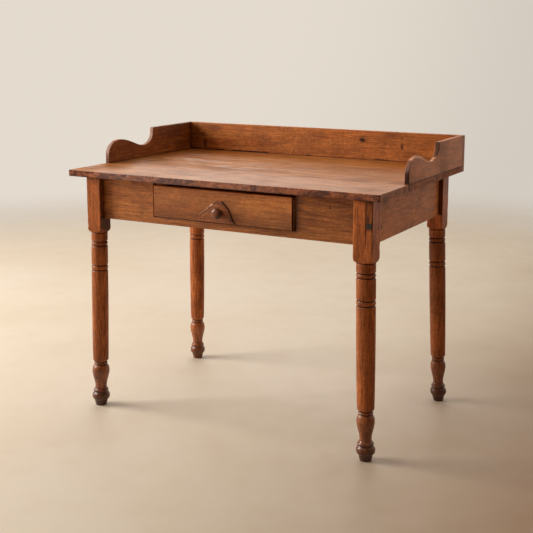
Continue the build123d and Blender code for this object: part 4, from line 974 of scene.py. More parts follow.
def top_board(name, ya, yb, front=False, seed=1):
    xs = lines(X0, X1, step=2.6 if front else 7.0, near={X0: 1.4, X1: 1.4})
    beside = [ya + 1.7, ya + 3.2] if ya == SEAM1 else [yb - 1.7, yb - 3.2] if front else []
    if front:
        ys = np.array(sorted(set(np.concatenate([[ya, ya + 0.9, ya + 1.9, ya + 2.7, ya + 3.9, ya + 5.5, ya + 8, ya + 12, ya + 18],
                                                 lines(ya + 18, yb, step=11.0, near={yb: 0.45}), beside]).round(4).tolist())))
    else:
        ys = lines(ya, yb, step=11.0, near={ya: 0.45, yb: 0.45})
        ys = np.array(sorted(set(ys.round(4).tolist() + beside)))
    zs = np.array([UNDER, UNDER + 0.9, UNDER + 1.9, UNDER + 2.7, UNDER + 4.5, UNDER + 7, UNDER + 9.5, UNDER + 12, UNDER + 14.5,
                   WORK_H - 2.7, WORK_H - 1.9, WORK_H - 0.9, WORK_H]) if front else lines(UNDER, WORK_H, step=5, near={UNDER: 1.2, WORK_H: 1.2})
    B = Block(xs, ys, zs)
    P0 = B.P0
    if front:
        n1 = fbm(np.stack([P0[:, 0] / 21, P0[:, 2] * 0 + 1, P0[:, 1] * 0], 1), seed, 4)
        n2 = fbm(np.stack([P0[:, 0] / 8, P0[:, 2] * 0 + 4, P0[:, 1] * 0], 1), seed + 3, 4)
        r_top = 1.1 + 1.5 * n1
        r_bot = 1.3 + 1.6 * n2
        F = (1, ya, -1)
        for side in ((0, X0, -1), (0, X1, 1)):
            B.round(F, side, 4.6)
        B.edge[:] = 0
        B.round(F, (2, WORK_H, 1), r_top)
        B.round(F, (2, UNDER, -1), r_bot)
        for side in ((0, X0, -1), (0, X1, 1)):
            B.round(side, (2, WORK_H, 1), 1.3)
            B.round(side, (2, UNDER, -1), 1.3)
        B.round((1, yb, 1), (2, WORK_H, 1), 0.4)
    else:
        for side in ((0, X0, -1), (0, X1, 1)):
            B.round(side, (2, WORK_H, 1), 1.2)
            B.round(side, (2, UNDER, -1), 1.2)
        for side in ((1, ya, -1), (1, yb, 1)):
            B.round(side, (2, WORK_H, 1), 0.4)
    # no wear shows along the joints
    B.edge *= ~((np.abs(P0[:, 1] - (yb if front else ya)) < 1.0) | (np.abs(P0[:, 1] - yb) < 1.0))
    P = B.P
    # the work surface has moved and worn: a little low between the arrises
    up = smooth(P0[:, 2], WORK_H - 2, WORK_H)
    flat = smooth(P0[:, 0], X0, X0 + 20) * (1 - smooth(P0[:, 0], X1 - 20, X1))
    P[:, 2] -= up * (0.10 + 0.45 * fbm(np.stack([P0[:, 0] / 210, P0[:, 1] / 60, P0[:, 2] * 0], 1), seed + 31, 3)) * flat * 0.9
    stain_and_highlight = np.zeros(len(P))
    dirt_and_shade = np.zeros(len(P))
    if front:
        # chipped and splintered front edge
        near_top = np.exp(-np.maximum(P0[:, 1] - ya, 0) / 2.2) * smooth(P0[:, 2], WORK_H - 9, WORK_H - 0.5)
        near_bot = np.exp(-np.maximum(P0[:, 1] - ya, 0) / 2.0) * (1 - smooth(P0[:, 2], UNDER + 0.5, UNDER + 6))
        teeth = fbm(np.stack([P0[:, 0] / 5.2, P0[:, 2] / 7.0, P0[:, 1] / 9.0], 1), seed + 41, 4)
        coarse = fbm(np.stack([P0[:, 0] / 34, P0[:, 2] / 30.0, P0[:, 1] / 30], 1), seed + 43, 3)
        chip = smooth(teeth, 0.50, 0.74) * (0.5 + 1.5 * smooth(coarse, 0.42, 0.66))
        rng = np.random.RandomState(seed + 71)
        for _ in range(30):
            cxp, w, dep, at = rng.uniform(-490, 500), rng.uniform(2.5, 9), rng.uniform(0.5, 1.9), rng.rand() < 0.72
            bump_ = dep * np.exp(-((P0[:, 0] - cxp) / w) ** 2)
            chip = chip + bump_ * (near_top if at else 0)
            if not at:
                P[:, 2] += bump_ * near_bot * 0.8
        P[:, 2] -= chip * near_top * 0.9
        P[:, 1] += chip * near_top * 0.8 + 0.5 * smooth(fbm(np.stack([P0[:, 0] / 12, P0[:, 2] / 4.5, P0[:, 1] * 0], 1), seed + 47, 4), 0.45, 0.75) * np.exp(-np.maximum(P0[:, 1] - ya, 0) / 1.5)
        # face of the edge
        face = np.exp(-np.maximum(P0[:, 1] - ya, 0) / 1.2)
        n = fbm(np.stack([P0[:, 0] / 13, P0[:, 2] / 6.5, P0[:, 1] * 0], 1), seed + 53, 5)
        xj = P0[:, 0] + (fbm(np.stack([P0[:, 0] / 30, P0[:, 2] / 8.0, P0[:, 1] * 0], 1), seed + 55, 3) - 0.5) * 60
        st = stain_along(xj, seed)
        stain_and_highlight = face * (0.3 + 0.7 * np.clip(st * (0.45 + 0.8 * smooth(n, 0.36, 0.62)) + 0.35 * smooth(n, 0.55, 0.7) * (1 - st), 0, 1))
        notch = smooth(teeth, 0.54, 0.70) * np.exp(-np.maximum(P0[:, 1] - ya, 0) / 1.0) * smooth(P0[:, 2], WORK_H - 6, WORK_H - 1)
        stain_and_highlight = np.maximum(stain_and_highlight, notch)
        # painted shade: the lowest few millimetres of the front edge darkened as a shadow line
        low = 1 - smooth(P0[:, 2], UNDER + 1, UNDER + 6)
        dirt_and_shade = face * 0.35 * low
    # the front seam isn't quite square to the ends
    if front or ya == SEAM1:
        lead = (P0[:, 1] - ya) / (yb - ya)
        lead = lead if front else 1 - lead
        P[:, 1] += SLANT * P0[:, 0] / X1 * lead
    for side in (X0, X1):
        d = np.abs(P0[:, 0] - side)
        face = np.exp(-d / 1.2)
        n = fbm(np.stack([P0[:, 1] / 14, P0[:, 2] / 6.0, P0[:, 0] * 0 + 7], 1), seed + 59, 4)
        stain_and_highlight = np.maximum(stain_and_highlight, face * (0.3 + (0.42 if front else 0.22) * smooth(n, 0.42, 0.62)))
        # dirt in the joints: seam and foot of the gallery end
        if front:
            dirt_and_shade = np.maximum(dirt_and_shade, face * 0.95 * (1 - smooth(yb - P0[:, 1], 1.0, 3.0)))
        else:
            if ya == SEAM1:
                dirt_and_shade = np.maximum(dirt_and_shade, face * 0.95 * (1 - smooth(P0[:, 1] - ya, 1.0, 3.0)))
            else:
                dirt_and_shade = np.maximum(dirt_and_shade, face * 0.4 * np.exp(-((P0[:, 1] - ya) / 1.1) ** 2))
            dirt_and_shade = np.maximum(dirt_and_shade, face * 0.95 * np.exp(-((P0[:, 2] - WORK_H) / 0.9) ** 2))
    make_piece(name + "_wood", P, [B.F], "table", M[name], (name,), {"edge": B.edge, "stain_and_highlight": stain_and_highlight, "dirt_and_shade": dirt_and_shade})


top_board("top_board_front", Y0, SEAM1, front=True, seed=5)
top_board("top_board_middle", SEAM1, SEAM2, seed=7)
top_board("top_board_rear", SEAM2, YB, seed=9)


# ---------------------------------------------------------------------------
# Aprons
# ---------------------------------------------------------------------------
def wear_push(B, seed, amount=0.45, scale=11.0):
    """Bruises along the arrises and a faint unevenness over the faces."""
    P0 = B.P0
    n = fbm(P0 / scale, seed, 4)
    low = fbm(P0 / 70.0, seed + 3, 2)
    B.push(B.edge * amount * smooth(n, 0.42, 0.72) * 1.6 + 0.16 * low * (1 - B.edge))
    return B


def apron_x(name, y0, x0, x1, outer, opening=False, seed=1):
    """Front or back apron, along X. outer is -1 for the front, 1 for the back."""
    y1 = y0 + APR_T
    r = 0.9
    ten = (y0 + 5, y0 + 15)
    stops_x = [x0 - 19, x0, x1, x1 + 19]
    housings = [(-235.0, -195.0), (229.0, 269.0)]
    if opening:
        stops_x = sorted(stops_x + [OPX0, OPX1])
    stops_x = sorted(set(stops_x + [h for p in housings for h in p]))
    xs = lines(*stops_x, step=8.0, near={OPX0: r, OPX1: r} if opening else {})
    inner_y = y1 - 6 if outer < 0 else y0 + 6
    ys = lines(*sorted({y0, ten[0], ten[1], y1, inner_y}), step=5.0, near={y0: r, y1: r})
    zs = lines(APR_Z, 612.0, OPZ, 706.0, UNDER, step=7.0, near={APR_Z: 1.2, OPZ: r} if opening else {APR_Z: 1.2})

    def solid(x, y, z):
        s = (x > x0) & (x < x1) & (y > y0) & (z > 0)
        s = s | ((y > ten[0]) & (y < ten[1]) & (z > 612) & (z < 706) & (x > -1e9))
        if opening:
            s = s & ~((x > OPX0) & (x < OPX1) & (z > OPZ))
        for a, b in housings:
            deep = (y > inner_y) if outer < 0 else (y < inner_y)
            s = s & ~((x > a) & (x < b) & (z < OPZ) & deep)
        return s

    B = Block(xs, ys, zs, solid)
    body = lambda p: (p[:, 0] > x0 - 0.01) & (p[:, 0] < x1 + 0.01)
    for face in ((1, y0, -1), (1, y1, 1)):
        B.round(face, (2, APR_Z, -1), 1.1, body)
        if opening:
            B.round(face, (2, OPZ, 1), 0.9, lambda p: (p[:, 0] > OPX0 - 0.01) & (p[:, 0] < OPX1 + 0.01) & (p[:, 2] < OPZ + 0.01))
            B.round(face, (0, OPX0, 1), 0.9, lambda p: (p[:, 2] > OPZ - 0.01) & (p[:, 0] < OPX0 + 0.01))
            B.round(face, (0, OPX1, -1), 0.9, lambda p: (p[:, 2] > OPZ - 0.01) & (p[:, 0] > OPX1 - 0.01))
    wear_push(B, seed)
    P0 = B.P0
    out_y = y0 if outer < 0 else y1
    face = np.exp(-np.abs(P0[:, 1] - out_y) / 2)
    n = fbm(P0 / 9.0, seed + 9, 4)
    dirt_and_shade = face * 0.55 * smooth(P0[:, 2], UNDER - 5, UNDER) * smooth(n, 0.3, 0.6)
    dirt_and_shade = np.maximum(dirt_and_shade, face * 0.35 * np.maximum(1 - smooth(P0[:, 0] - x0, 0, 5), 1 - smooth(x1 - P0[:, 0], 0, 5)) * smooth(n, 0.25, 0.6))
    if opening:
        beside = np.maximum(P0[:, 0] - OPX1, 0)
        # painted shadow line along the rail under the drawer opening
        dirt_and_shade = np.maximum(dirt_and_shade, face * 0.6 * (P0[:, 0] > OPX0) * (P0[:, 0] < OPX1) * (np.abs(P0[:, 2] - OPZ) < 1.0))
        under = (P0[:, 0] > OPX0) & (P0[:, 0] < OPX1) & (P0[:, 2] < OPZ + 0.1) & (P0[:, 2] > OPZ - 3.0)
        dirt_and_shade = np.maximum(dirt_and_shade, face * 0.45 * under * smooth(n, 0.2, 0.55))
        # painted shadow cast by the drawer front on the apron right of the opening
        dirt_and_shade = np.maximum(dirt_and_shade, face * 0.82 * np.exp(-(beside / 12.0) ** 1.5) * (P0[:, 0] > OPX1 - 1.2) * (0.75 + 0.25 * smooth(n, 0.3, 0.6)) * smooth(P0[:, 2], OPZ - 8, OPZ + 4))
    make_piece(name + "_wood", B.P, [B.F], "table", M[name], (name,), {"edge": B.edge, "dirt_and_shade": dirt_and_shade, "stain_and_highlight": np.zeros(len(P0))})


def apron_y(name, x0, y0, y1, outer, seed):
    """Side apron, along Y. x0 its lower face in X."""
    x1 = x0 + APR_T
    ten = (x0 + 5, x0 + 15)
    xs = lines(x0, ten[0], ten[1], x1, step=5.0, near={x0: 0.9, x1: 0.9})
    ys = lines(y0 - 24, y0, y1, y1 + 24, step=8.0)
    zs = lines(APR_Z, 612.0, 706.0, UNDER, step=7.0, near={APR_Z: 1.2})

    def solid(x, y, z):
        return ((y > y0) & (y < y1) & (x > -1e9) & (z > 0)) | ((x > ten[0]) & (x < ten[1]) & (z > 612) & (z < 706) & (y > -1e9))

    B = Block(xs, ys, zs, solid)
    body = lambda p: (p[:, 1] > y0 - 0.01) & (p[:, 1] < y1 + 0.01)
    for face in ((0, x0, -1), (0, x1, 1)):
        B.round(face, (2, APR_Z, -1), 1.1, body)
    wear_push(B, seed)
    P0 = B.P0
    out_x = x0 if outer < 0 else x1
    face = np.exp(-np.abs(P0[:, 0] - out_x) / 2)
    n = fbm(P0 / 9.0, seed + 9, 4)
    dirt_and_shade = face * 0.5 * smooth(P0[:, 2], UNDER - 4, UNDER) * smooth(n, 0.3, 0.6)
    dirt_and_shade = np.maximum(dirt_and_shade, face * 0.6 * np.maximum(1 - smooth(P0[:, 1] - y0, 0, 5), 1 - smooth(y1 - P0[:, 1], 0, 5)) * smooth(n, 0.25, 0.6))
    make_piece(name + "_wood", B.P, [B.F], "table", M[name], (name,), {"edge": B.edge, "dirt_and_shade": dirt_and_shade, "stain_and_highlight": np.zeros(len(P0))})


apron_x("apron_front", AFY, -401.0, 430.0, -1, opening=True, seed=101)
apron_x("apron_back", ABY - APR_T, -401.0, 435.0, 1, seed=111)
apron_y("apron_left", ALX, -279.5, 220.0, -1, 121)
apron_y("apron_right", ARX - APR_T, -275.5, 220.0, 1, 131)


# ---------------------------------------------------------------------------
# Gallery
# ---------------------------------------------------------------------------
def gallery_back():
    nails = [(x, 735.5) for x in (-380, -190, 0, 190, 380)] + [(s * 503.0, z) for s in (-1, 1) for z in (765, 792, 820)]
    stops = sorted({X0, X1} | {n[0] + d for n in nails for d in (-7, -3.6, 3.6, 7)})
    xs = lines(*stops, step=7.0, near={X0: 1.4, X1: 1.4})
    zst = sorted({UNDER, WORK_H + 0.8, WORK_H + 1.8, WORK_H + 2.8, WORK_H + 4.0, WORK_H + 5.5, 840.0} | {n[1] + d for n in nails for d in (-7, -3.6, 3.6, 7)})
    zs = lines(*zst, step=6.0, near={UNDER: 0.8, 840.0: 2.0})
    ys = lines(YB, Y1, step=4.0, near={YB: 2.0, Y1: 2.0})
    B = Block(xs, ys, zs)
    n = fbm(np.stack([B.P0[:, 0] / 25, B.P0[:, 1] * 0, B.P0[:, 2] * 0], 1), 141, 4)
    for face in ((1, YB, -1), (1, Y1, 1)):
        B.round(face, (2, 840.0, 1), 1.1 + 1.5 * n)
        B.round(face, (2, UNDER, -1), 0.7)
    for side in ((0, X0, -1), (0, X1, 1)):
        B.round(side, (2, 840.0, 1), 1.4)
        B.round(side, (1, Y1, 1), 1.2)
        B.round(side, (2, UNDER, -1), 0.7)
    wear_push(B, 143)
    P0 = B.P0
    back = np.abs(P0[:, 1] - Y1) < 0.1
    dirt_and_shade = np.zeros(len(P0))
    for x, z in nails:
        d = np.hypot(P0[:, 0] - x, P0[:, 2] - z)
        B.P[:, 1] -= np.where(back, 0.45 * (1 - smooth(d, 3.2, 7.0)), 0)
        dirt_and_shade = np.maximum(dirt_and_shade, np.where(back, 0.8 * (1 - smooth(d, 3.4, 7.5)), 0))
    nn = fbm(P0 / 8.0, 147, 4)
    front = np.exp(-np.abs(P0[:, 1] - YB) / 1.5)
    run = fbm(np.stack([P0[:, 0] / 28.0, P0[:, 0] * 0, P0[:, 0] * 0 + 3], 1), 149, 4)
    thick = 1.4 + 3.0 * smooth(run, 0.46, 0.68)
    dirt_and_shade = np.maximum(dirt_and_shade, front * np.clip((thick + 0.8 - (P0[:, 2] - WORK_H)) / 1.2, 0, 0.95) * (P0[:, 2] > WORK_H - 2))
    dirt_and_shade = np.maximum(dirt_and_shade, 0.85 * (np.abs(P0[:, 0] - X1) < 0.1) * (P0[:, 1] < YB + 0.6))
    # grime and painted shade in the inner corners where the gallery ends meet the back board
    for side, s in ((X0 + GAL_T, 1), (X1 - GAL_T, -1)):
        dirt_and_shade = np.maximum(dirt_and_shade, front * 0.6 * (1 - smooth(np.abs(P0[:, 0] - side), 1, 7)) * smooth(nn, 0.3, 0.6))
    make_piece("gallery_back_wood", B.P, [B.F], "table", M["gallery_back"], ("gallery_back",), {"edge": B.edge, "dirt_and_shade": dirt_and_shade, "stain_and_highlight": np.zeros(len(P0))})


SCROLL_L = [(0, 31.0), (5.5, 45.5), (16.0, 56.5), (31.0, 65.3), (47.5, 70.0), (64.0, 70.8), (80.5, 69.2), (97.0, 65.8), (117.0, 60.2),
            (137.0, 53.6), (157.0, 47.2), (174.5, 43.0), (192.0, 41.2), (209.5, 43.0), (224.0, 48.0), (236.0, 57.5), (242.3, 69.0), (245.0, 86.0)]
SCROLL_RI = [(0, 28.0), (4.0, 39.5), (11.5, 50.5), (22.0, 60.5), (37.0, 68.0), (56.0, 71.8), (78.0, 72.4), (102.0, 70.0), (126.0, 65.2),
             (146.0, 58.8), (163.0, 52.0), (180.0, 46.4), (197.0, 44.4), (212.0, 48.6), (225.5, 57.6), (236.0, 71.5), (241.4, 87.0)]
SCROLL_RO = [(0, 36.0), (2.6, 46.0), (8.0, 54.5), (17.0, 62.0), (30.0, 67.0), (46.0, 68.2), (64.0, 66.8), (84.0, 62.8), (104.0, 58.0),
             (127.0, 52.2), (150.0, 47.2), (174.0, 44.8), (196.0, 46.6), (214.0, 52.0), (227.5, 61.2), (236.5, 74.0), (241.8, 87.0)]


def end_outline(scroll, deep):
    """Closed outline of a gallery end; the same number of points for every scroll of the same length."""
    low, last = scroll[0][1], scroll[-1][0]
    curve = catmull([(0, low - 7.0)] + scroll, 6)[6:]

    def run(p, q, n):
        return np.linspace(p, q, n + 1)
    top = np.concatenate([run((0, 0), (0, low), 9)[:-1], curve, [(last + 0.6, 92.0), (last + 2.0, 93.8)],
                          run((last + 4.0, 95.0), (deep, 95.0), 37), run((deep, 95.0), (deep, 0.0), 16)[1:],
                          run((deep, 0.0), (0.0, 0.0), 68)[1:-1]])
    return top[::-1].copy()          # counter-clockwise


def gallery_end(name, x_low, y_low, scroll, seed, outer, far=None):
    """far is the outline on the high side, where it differs."""
    last, deep = scroll[-1][0], YB - y_low
    poly = end_outline(scroll, deep)
    s = np.cumsum(np.r_[0, np.hypot(*np.diff(poly, axis=0).T)])
    n = fbm(np.stack([s / 22, s * 0, s * 0 + seed], 1), seed, 4)
    r = 1.2 + 1.5 * smooth(n, 0.3, 0.7)
    r = np.where((poly[:, 1] < 0.1) | (poly[:, 0] > deep - 0.1), 0.35, r)
    P, F, rim = sawn(poly, GAL_T, r, 4, 8.0)
    if far is not None:
        shift = end_outline(far, deep) - poly
        gap = np.hypot(P[:, 0, None] - poly[None, :, 0], P[:, 1, None] - poly[None, :, 1])
        near = gap.argmin(1)
        P[:, :2] += shift[near] * (np.exp(-(gap.min(1) / 16.0) ** 2) * P[:, 2] / GAL_T)[:, None]
    a, b, d = P.T
    W = np.stack([x_low + d, y_low + a, WORK_H + b], 1)
    N = normals_of(W, F)
    if N[np.abs(d) < 1e-6][:, 0].mean() > 0:
        F = [f[:, ::-1] for f in F]
        N = -N
    nn = fbm(W / 11.0, seed + 3, 4)
    W = W - N * (rim * 0.7 * smooth(nn, 0.42, 0.72) + 0.12 * fbm(W / 60.0, seed + 5, 2))[:, None]
    W[:, 0] = np.clip(W[:, 0], x_low, x_low + GAL_T)
    W[:, 2] = np.clip(W[:, 2], WORK_H, WORK_H + GAL_H)
    lowest = 1 - smooth(b, 0.5, 4.0)
    dirt_and_shade = lowest * (0.35 + 0.45 * smooth(nn, 0.35, 0.6))
    dirt_and_shade = np.maximum(dirt_and_shade, 0.85 * (a > deep - 0.8))
    inner_face = (d > GAL_T - 0.5) if outer < 0 else (d < 0.5)
    # grime and painted shade on the inner face towards the back board
    dirt_and_shade = np.maximum(dirt_and_shade, np.where(inner_face, smooth(a, deep - 9, deep) * 0.6, 0))
    # end grain on the front end and the risers: on the left end a pale painted highlight where the window light glances
    # off it, on the right end dark end grain
    end = (d > 1.0) & (d < GAL_T - 1.0) & (b > 1.0) & (((a < 26) & (b < 64)) | ((a > last - 22) & (a < last + 5)))
    end = end | ((rim > 0.2) & (((a < 20) & (b < 60)) | ((a > last - 16) & (a < last + 5) & (b > 52))) & (d > 3.0 if outer > 0 else d > -1))
    stain_and_highlight = np.where(end, 0.9, 0.0)
    if outer < 0:       # paler towards the top, dark at the foot
        # painted highlight on the left end's end grain: paler towards the top, darker at the foot
        stain_and_highlight = stain_and_highlight * np.where(a < 26, 0.35 + 0.65 * smooth(b, 16, 40), 1.0)
        dirt_and_shade = np.maximum(dirt_and_shade, np.where(end & (a < 26), 0.6 * (1 - smooth(b, 6, 34)), 0))
    else:
        dirt_and_shade = np.maximum(dirt_and_shade, np.where(end & (a < 26), 0.8 * (1 - smooth(b, 14, 56)), 0))
    make_piece(name + "_wood", W, F, "table", M[name], (name,), {"edge": rim, "dirt_and_shade": dirt_and_shade, "stain_and_highlight": stain_and_highlight})


gallery_back()
gallery_end("gallery_left", X0, GAL_YL, SCROLL_L, 151, -1)
gallery_end("gallery_right", X1 - GAL_T, GAL_YR, SCROLL_RI, 161, 1, far=SCROLL_RO)


# ---------------------------------------------------------------------------
# Drawer front, plate and knob. Local u along the front, v back, z up
# ---------------------------------------------------------------------------
CR, SR = math.cos(RACK), math.sin(RACK)


def drawer_world(P):
    P = np.asarray(P, float)
    return np.stack([-219.0 + P[:, 0] * CR + P[:, 1] * SR, AFY - P[:, 0] * SR + P[:, 1] * CR, P[:, 2]], 1)


def drawer_front():
    z0, z1 = DR_Z, DR_Z + DR_H
    us = lines(0, 6, 12, DR_W - 12, DR_W - 6, DR_W, step=7.0, near={0: 1.4, DR_W: 1.4})
    vs = lines(0, 8, 14, 20, step=4.0, near={0: 1.6, 20: 0.6})
    zs = lines(z0, 629.0, 637.0, z1, step=6.0, near={z0: 1.4, z1: 1.4})

    def solid(u, v, z):
        s = (v < 8) | ((u > 12) & (u < DR_W - 12))
        return s & ~((v > 14) & (z > 629) & (z < 637) & (u > 6) & (u < DR_W - 6)) & (z > 0)

    B = Block(us, vs, zs, solid)
    n = fbm(np.stack([B.P0[:, 0] / 20, B.P0[:, 2] / 20, B.P0[:, 1] * 0], 1), 171, 4)
    r = 0.8 + 1.1 * n
    F = (1, 0.0, -1)
    B.round(F, (2, z1, 1), r)
    B.round(F, (2, z0, -1), r)
    B.round(F, (0, 0.0, -1), r)
    B.round(F, (0, DR_W, 1), r)
    mid = lambda p: (p[:, 0] > 11.9) & (p[:, 0] < DR_W - 11.9)
    B.round((1, 20.0, 1), (2, z1, 1), 0.6, mid)
    B.round((1, 20.0, 1), (2, z0, -1), 0.6, mid)
    wear_push(B, 173, 0.5)
    P0 = B.P0
    face = np.exp(-np.maximum(P0[:, 1], 0) / 1.5)
    # bruised lower corners
    chip = np.zeros(len(P0))
    for u, z, w, dep in ((2, z0, 6, 1.3), (DR_W - 3, z0 + 1, 7, 1.5), (DR_W - 12, z0, 4, 0.7), (DR_W, z1, 4, 0.9)):
        chip += dep * np.exp(-((P0[:, 0] - u) / w) ** 2 - ((P0[:, 2] - z) / 3.0) ** 2) * face
    B.P[:, 1] += chip
    nn = fbm(P0 / 9.0, 177, 4)
    low = (1 - smooth(P0[:, 2], z0, z0 + 3.0))
    # painted shadow along the bottom edge of the proud drawer front
    dirt_and_shade = face * low * 0.25 * smooth(nn, 0.4, 0.65)
    # painted shade on the right end, which stands proud in shadow
    dirt_and_shade = np.maximum(dirt_and_shade, 0.95 * (P0[:, 0] > DR_W - 0.6) * smooth(P0[:, 1], 0.6, 2.2))
    # painted shadow line along the bottom arris
    dirt_and_shade = np.maximum(dirt_and_shade, face * 0.8 * (1 - smooth(P0[:, 2], z0 + 0.2, z0 + 1.6)))
    make_piece("drawer_front_wood", drawer_world(B.P), [B.F], "drawer", M["drawer_front"], ("drawer_front",),
               {"edge": np.clip(B.edge + 0.8 * np.minimum(chip, 1), 0, 1), "dirt_and_shade": dirt_and_shade, "stain_and_highlight": np.zeros(len(P0))})


def knob_plate():
    right = catmull([(51.5, 623.0), (43.5, 633.5), (38.0, 645.5), (33.5, 656.0), (26.0, 667.5), (15.5, 678.5), (7.0, 686.0)], 5)
    poly = np.concatenate([right, resample([(7.0, 686.0), (-13.5, 686.0)], 3.0)[1:], resample([(-13.5, 686.0), (-67.5, 642.5)], 3.2)[1:],
                           resample([(-67.5, 642.5), (-69.0, 623.0)], 3.2)[1:], resample([(-69.0, 623.0), (51.5, 623.0)], 3.2)[1:-1]])
    poly = poly + np.array([KN_U, 0.0])
    ring = np.linspace(0, 2 * math.pi, 25)[:-1]
    hole = np.stack([KN_U + 6.1 * np.cos(ring), KN_Z + 6.1 * np.sin(ring)], 1)
    P, F, rim = sawn(poly, PLATE_T, 1.15, 2, 4.0, holes=[hole])
    u, z, d = P.T
    # d = 0 lies on the drawer front, d = PLATE_T faces out; a hollow is cut inside the sloping edges
    out = smooth(d, 0.5, PLATE_T)
    dist = np.full(len(P), 1e9)
    edge_pts = poly
    for q in edge_pts[edge_pts[:, 1] > 624.5]:
        dist = np.minimum(dist, np.hypot(u - q[0], z - q[1]))
    d = d - out * 0.75 * np.exp(-((dist - 5.2) / 2.2) ** 2)
    d = d - out * 0.25 * fbm(np.stack([u / 20, z / 20, d * 0], 1), 181, 3)
    for pu, pz in ((177, 631.5), (267, 631.5), (225.5, 680)):
        q = np.hypot(u - pu, z - pz)
        d = d - out * 0.3 * np.exp(-(q / 2.6) ** 2)
    W = drawer_world(np.stack([u, -d, z], 1))
    N = normals_of(W, F)
    if N[P[:, 2] > PLATE_T - 1e-6][:, 1].mean() > 0:
        F = [f[:, ::-1] for f in F]
    dirt_and_shade = np.exp(-((dist - 5.2) / 2.0) ** 2) * out * 0.3
    # painted highlight along the left slope, where the window light catches its arris
    p0, p1 = np.array([KN_U - 13.5, 686.0]), np.array([KN_U - 67.5, 642.5])
    along = (p1 - p0) / np.linalg.norm(p1 - p0)
    rel = np.stack([u, z], 1) - p0
    off = np.abs(rel[:, 0] * along[1] - rel[:, 1] * along[0])
    t = rel @ along
    slope_highlight = (off < 2.4) * smooth(t, -1, 5) * (1 - smooth(t, 66, 70)) * out
    # painted shadow along the right curve, cast by the plate's edge
    for q in right:
        dirt_and_shade = np.maximum(dirt_and_shade, 0.92 * (np.hypot(u - q[0] - KN_U, z - q[1]) < 2.3))
    make_piece("knob_plate_wood", W, F, "drawer", M["plate"], ("knob_plate",), {"edge": rim * out * 0.5, "dirt_and_shade": dirt_and_shade, "stain_and_highlight": slope_highlight})


def drawer_knob():
    prof = [(0.0, 21.4), (3.0, 21.5), (5.2, 21.4), (5.9, 20.8), (6.0, 19.8)]
    prof += resample([(6.0, 19.8), (6.0, -3.0)], 6.0)[1:].tolist()
    prof += [(9.6, -3.0), (10.15, -3.35), (10.1, -4.2), (9.6, -4.8)]
    prof += catmull([(9.0, -5.4), (7.8, -7.6), (9.4, -11.0), (14.6, -14.0), (16.5, -18.2), (14.8, -22.6), (8.8, -26.0), (0.0, -27.2)],
                    (4, 5, 6, 6, 7, 7, 6)).tolist()
    prof = np.array(prof)
    prof[-1, 0] = 0.0
    n = 56
    th = np.arange(n) * 2 * math.pi / n
    P, rows = [], []
    P.append([[0.0, prof[0, 1], 0.0]])
    for r, d in prof[1:-1]:
        rr = r * (1 + 0.012 * np.cos(2 * th + 0.7)) if d < -8 else np.full(n, r)
        rows.append(1 + len(rows) * n)
        P.append(np.stack([rr * np.cos(th), np.full(n, d), rr * np.sin(th)], 1))
    P.append([[0.0, prof[-1, 1], 0.0]])
    P = np.concatenate([np.asarray(p, float) for p in P])
    rng = np.random.RandomState(5)
    N0 = P[:, [0, 2]]
    dn = np.zeros(len(P))
    for _ in range(9):
        c = rng.randn(3)
        c /= np.linalg.norm(c)
        q = P - np.array([0, -17.5, 0])
        q /= np.maximum(np.linalg.norm(q, axis=1)[:, None], 1e-9)
        dn += 0.22 * np.exp(-((1 - q @ c) / 0.012))
    j = np.arange(n)
    j2 = (j + 1) % n
    quads = [np.stack([a + j, b + j, b + j2, a + j2], 1) for a, b in zip(rows[:-1], rows[1:])]
    tris = [np.stack([np.zeros(n, int), rows[0] + j, rows[0] + j2], 1),
            np.stack([np.full(n, len(P) - 1), rows[-1] + j2, rows[-1] + j], 1)]
    F = [np.concatenate(quads), np.concatenate(tris)]
    N = normals_of(P, F)
    out = P - np.array([0, -10.0, 0])
    if (N * out).sum(1).mean() < 0:
        F = [f[:, ::-1] for f in F]
        N = -N
    P = P - N * (dn * (P[:, 1] < -6))[:, None]
    dirt_and_shade = np.where((P[:, 1] > -10) & (P[:, 1] < -3.2), 0.7, 0.0)
    # painted shade on the right side of the knob's head, away from the window
    dirt_and_shade = np.maximum(dirt_and_shade, 0.62 * smooth(0.82 * P[:, 0] - 0.57 * P[:, 2], 1.0, 11.0) * (P[:, 1] < -9))
    edge = smooth(-P[:, 1], 15, 19) * (1 - smooth(-P[:, 1], 20, 25)) * 0.6
    L = P + np.array([KN_U, 0.0, KN_Z])
    make_piece("drawer_knob_wood", drawer_world(L), F, "drawer", M["knob"], ("drawer_knob",), {"edge": edge, "dirt_and_shade": dirt_and_shade, "stain_and_highlight": np.zeros(len(P))})


drawer_front()
knob_plate()
drawer_knob()


# ---------------------------------------------------------------------------
# Carried-over frame pieces: eased edges and their finish
# ---------------------------------------------------------------------------
def finish_node(node, material, width=0.6):
    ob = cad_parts[node]
    ob.data.materials.clear()
    ob.data.materials.append(material)
    if width:
        w = ob.modifiers.new("weld", "WELD")
        w.merge_threshold = 1e-5
        d = ob.modifiers.new("flat", "DECIMATE")
        d.decimate_type = "DISSOLVE"
        d.angle_limit = math.radians(0.3)
        b = ob.modifiers.new("ease", "BEVEL")
        b.width = width * MM
        b.segments = 2
        b.limit_method = "ANGLE"
        b.angle_limit = math.radians(40)
        b.harden_normals = False
        n = ob.modifiers.new("flats", "WEIGHTED_NORMAL")
        n.keep_sharp = True
        n.weight = 60


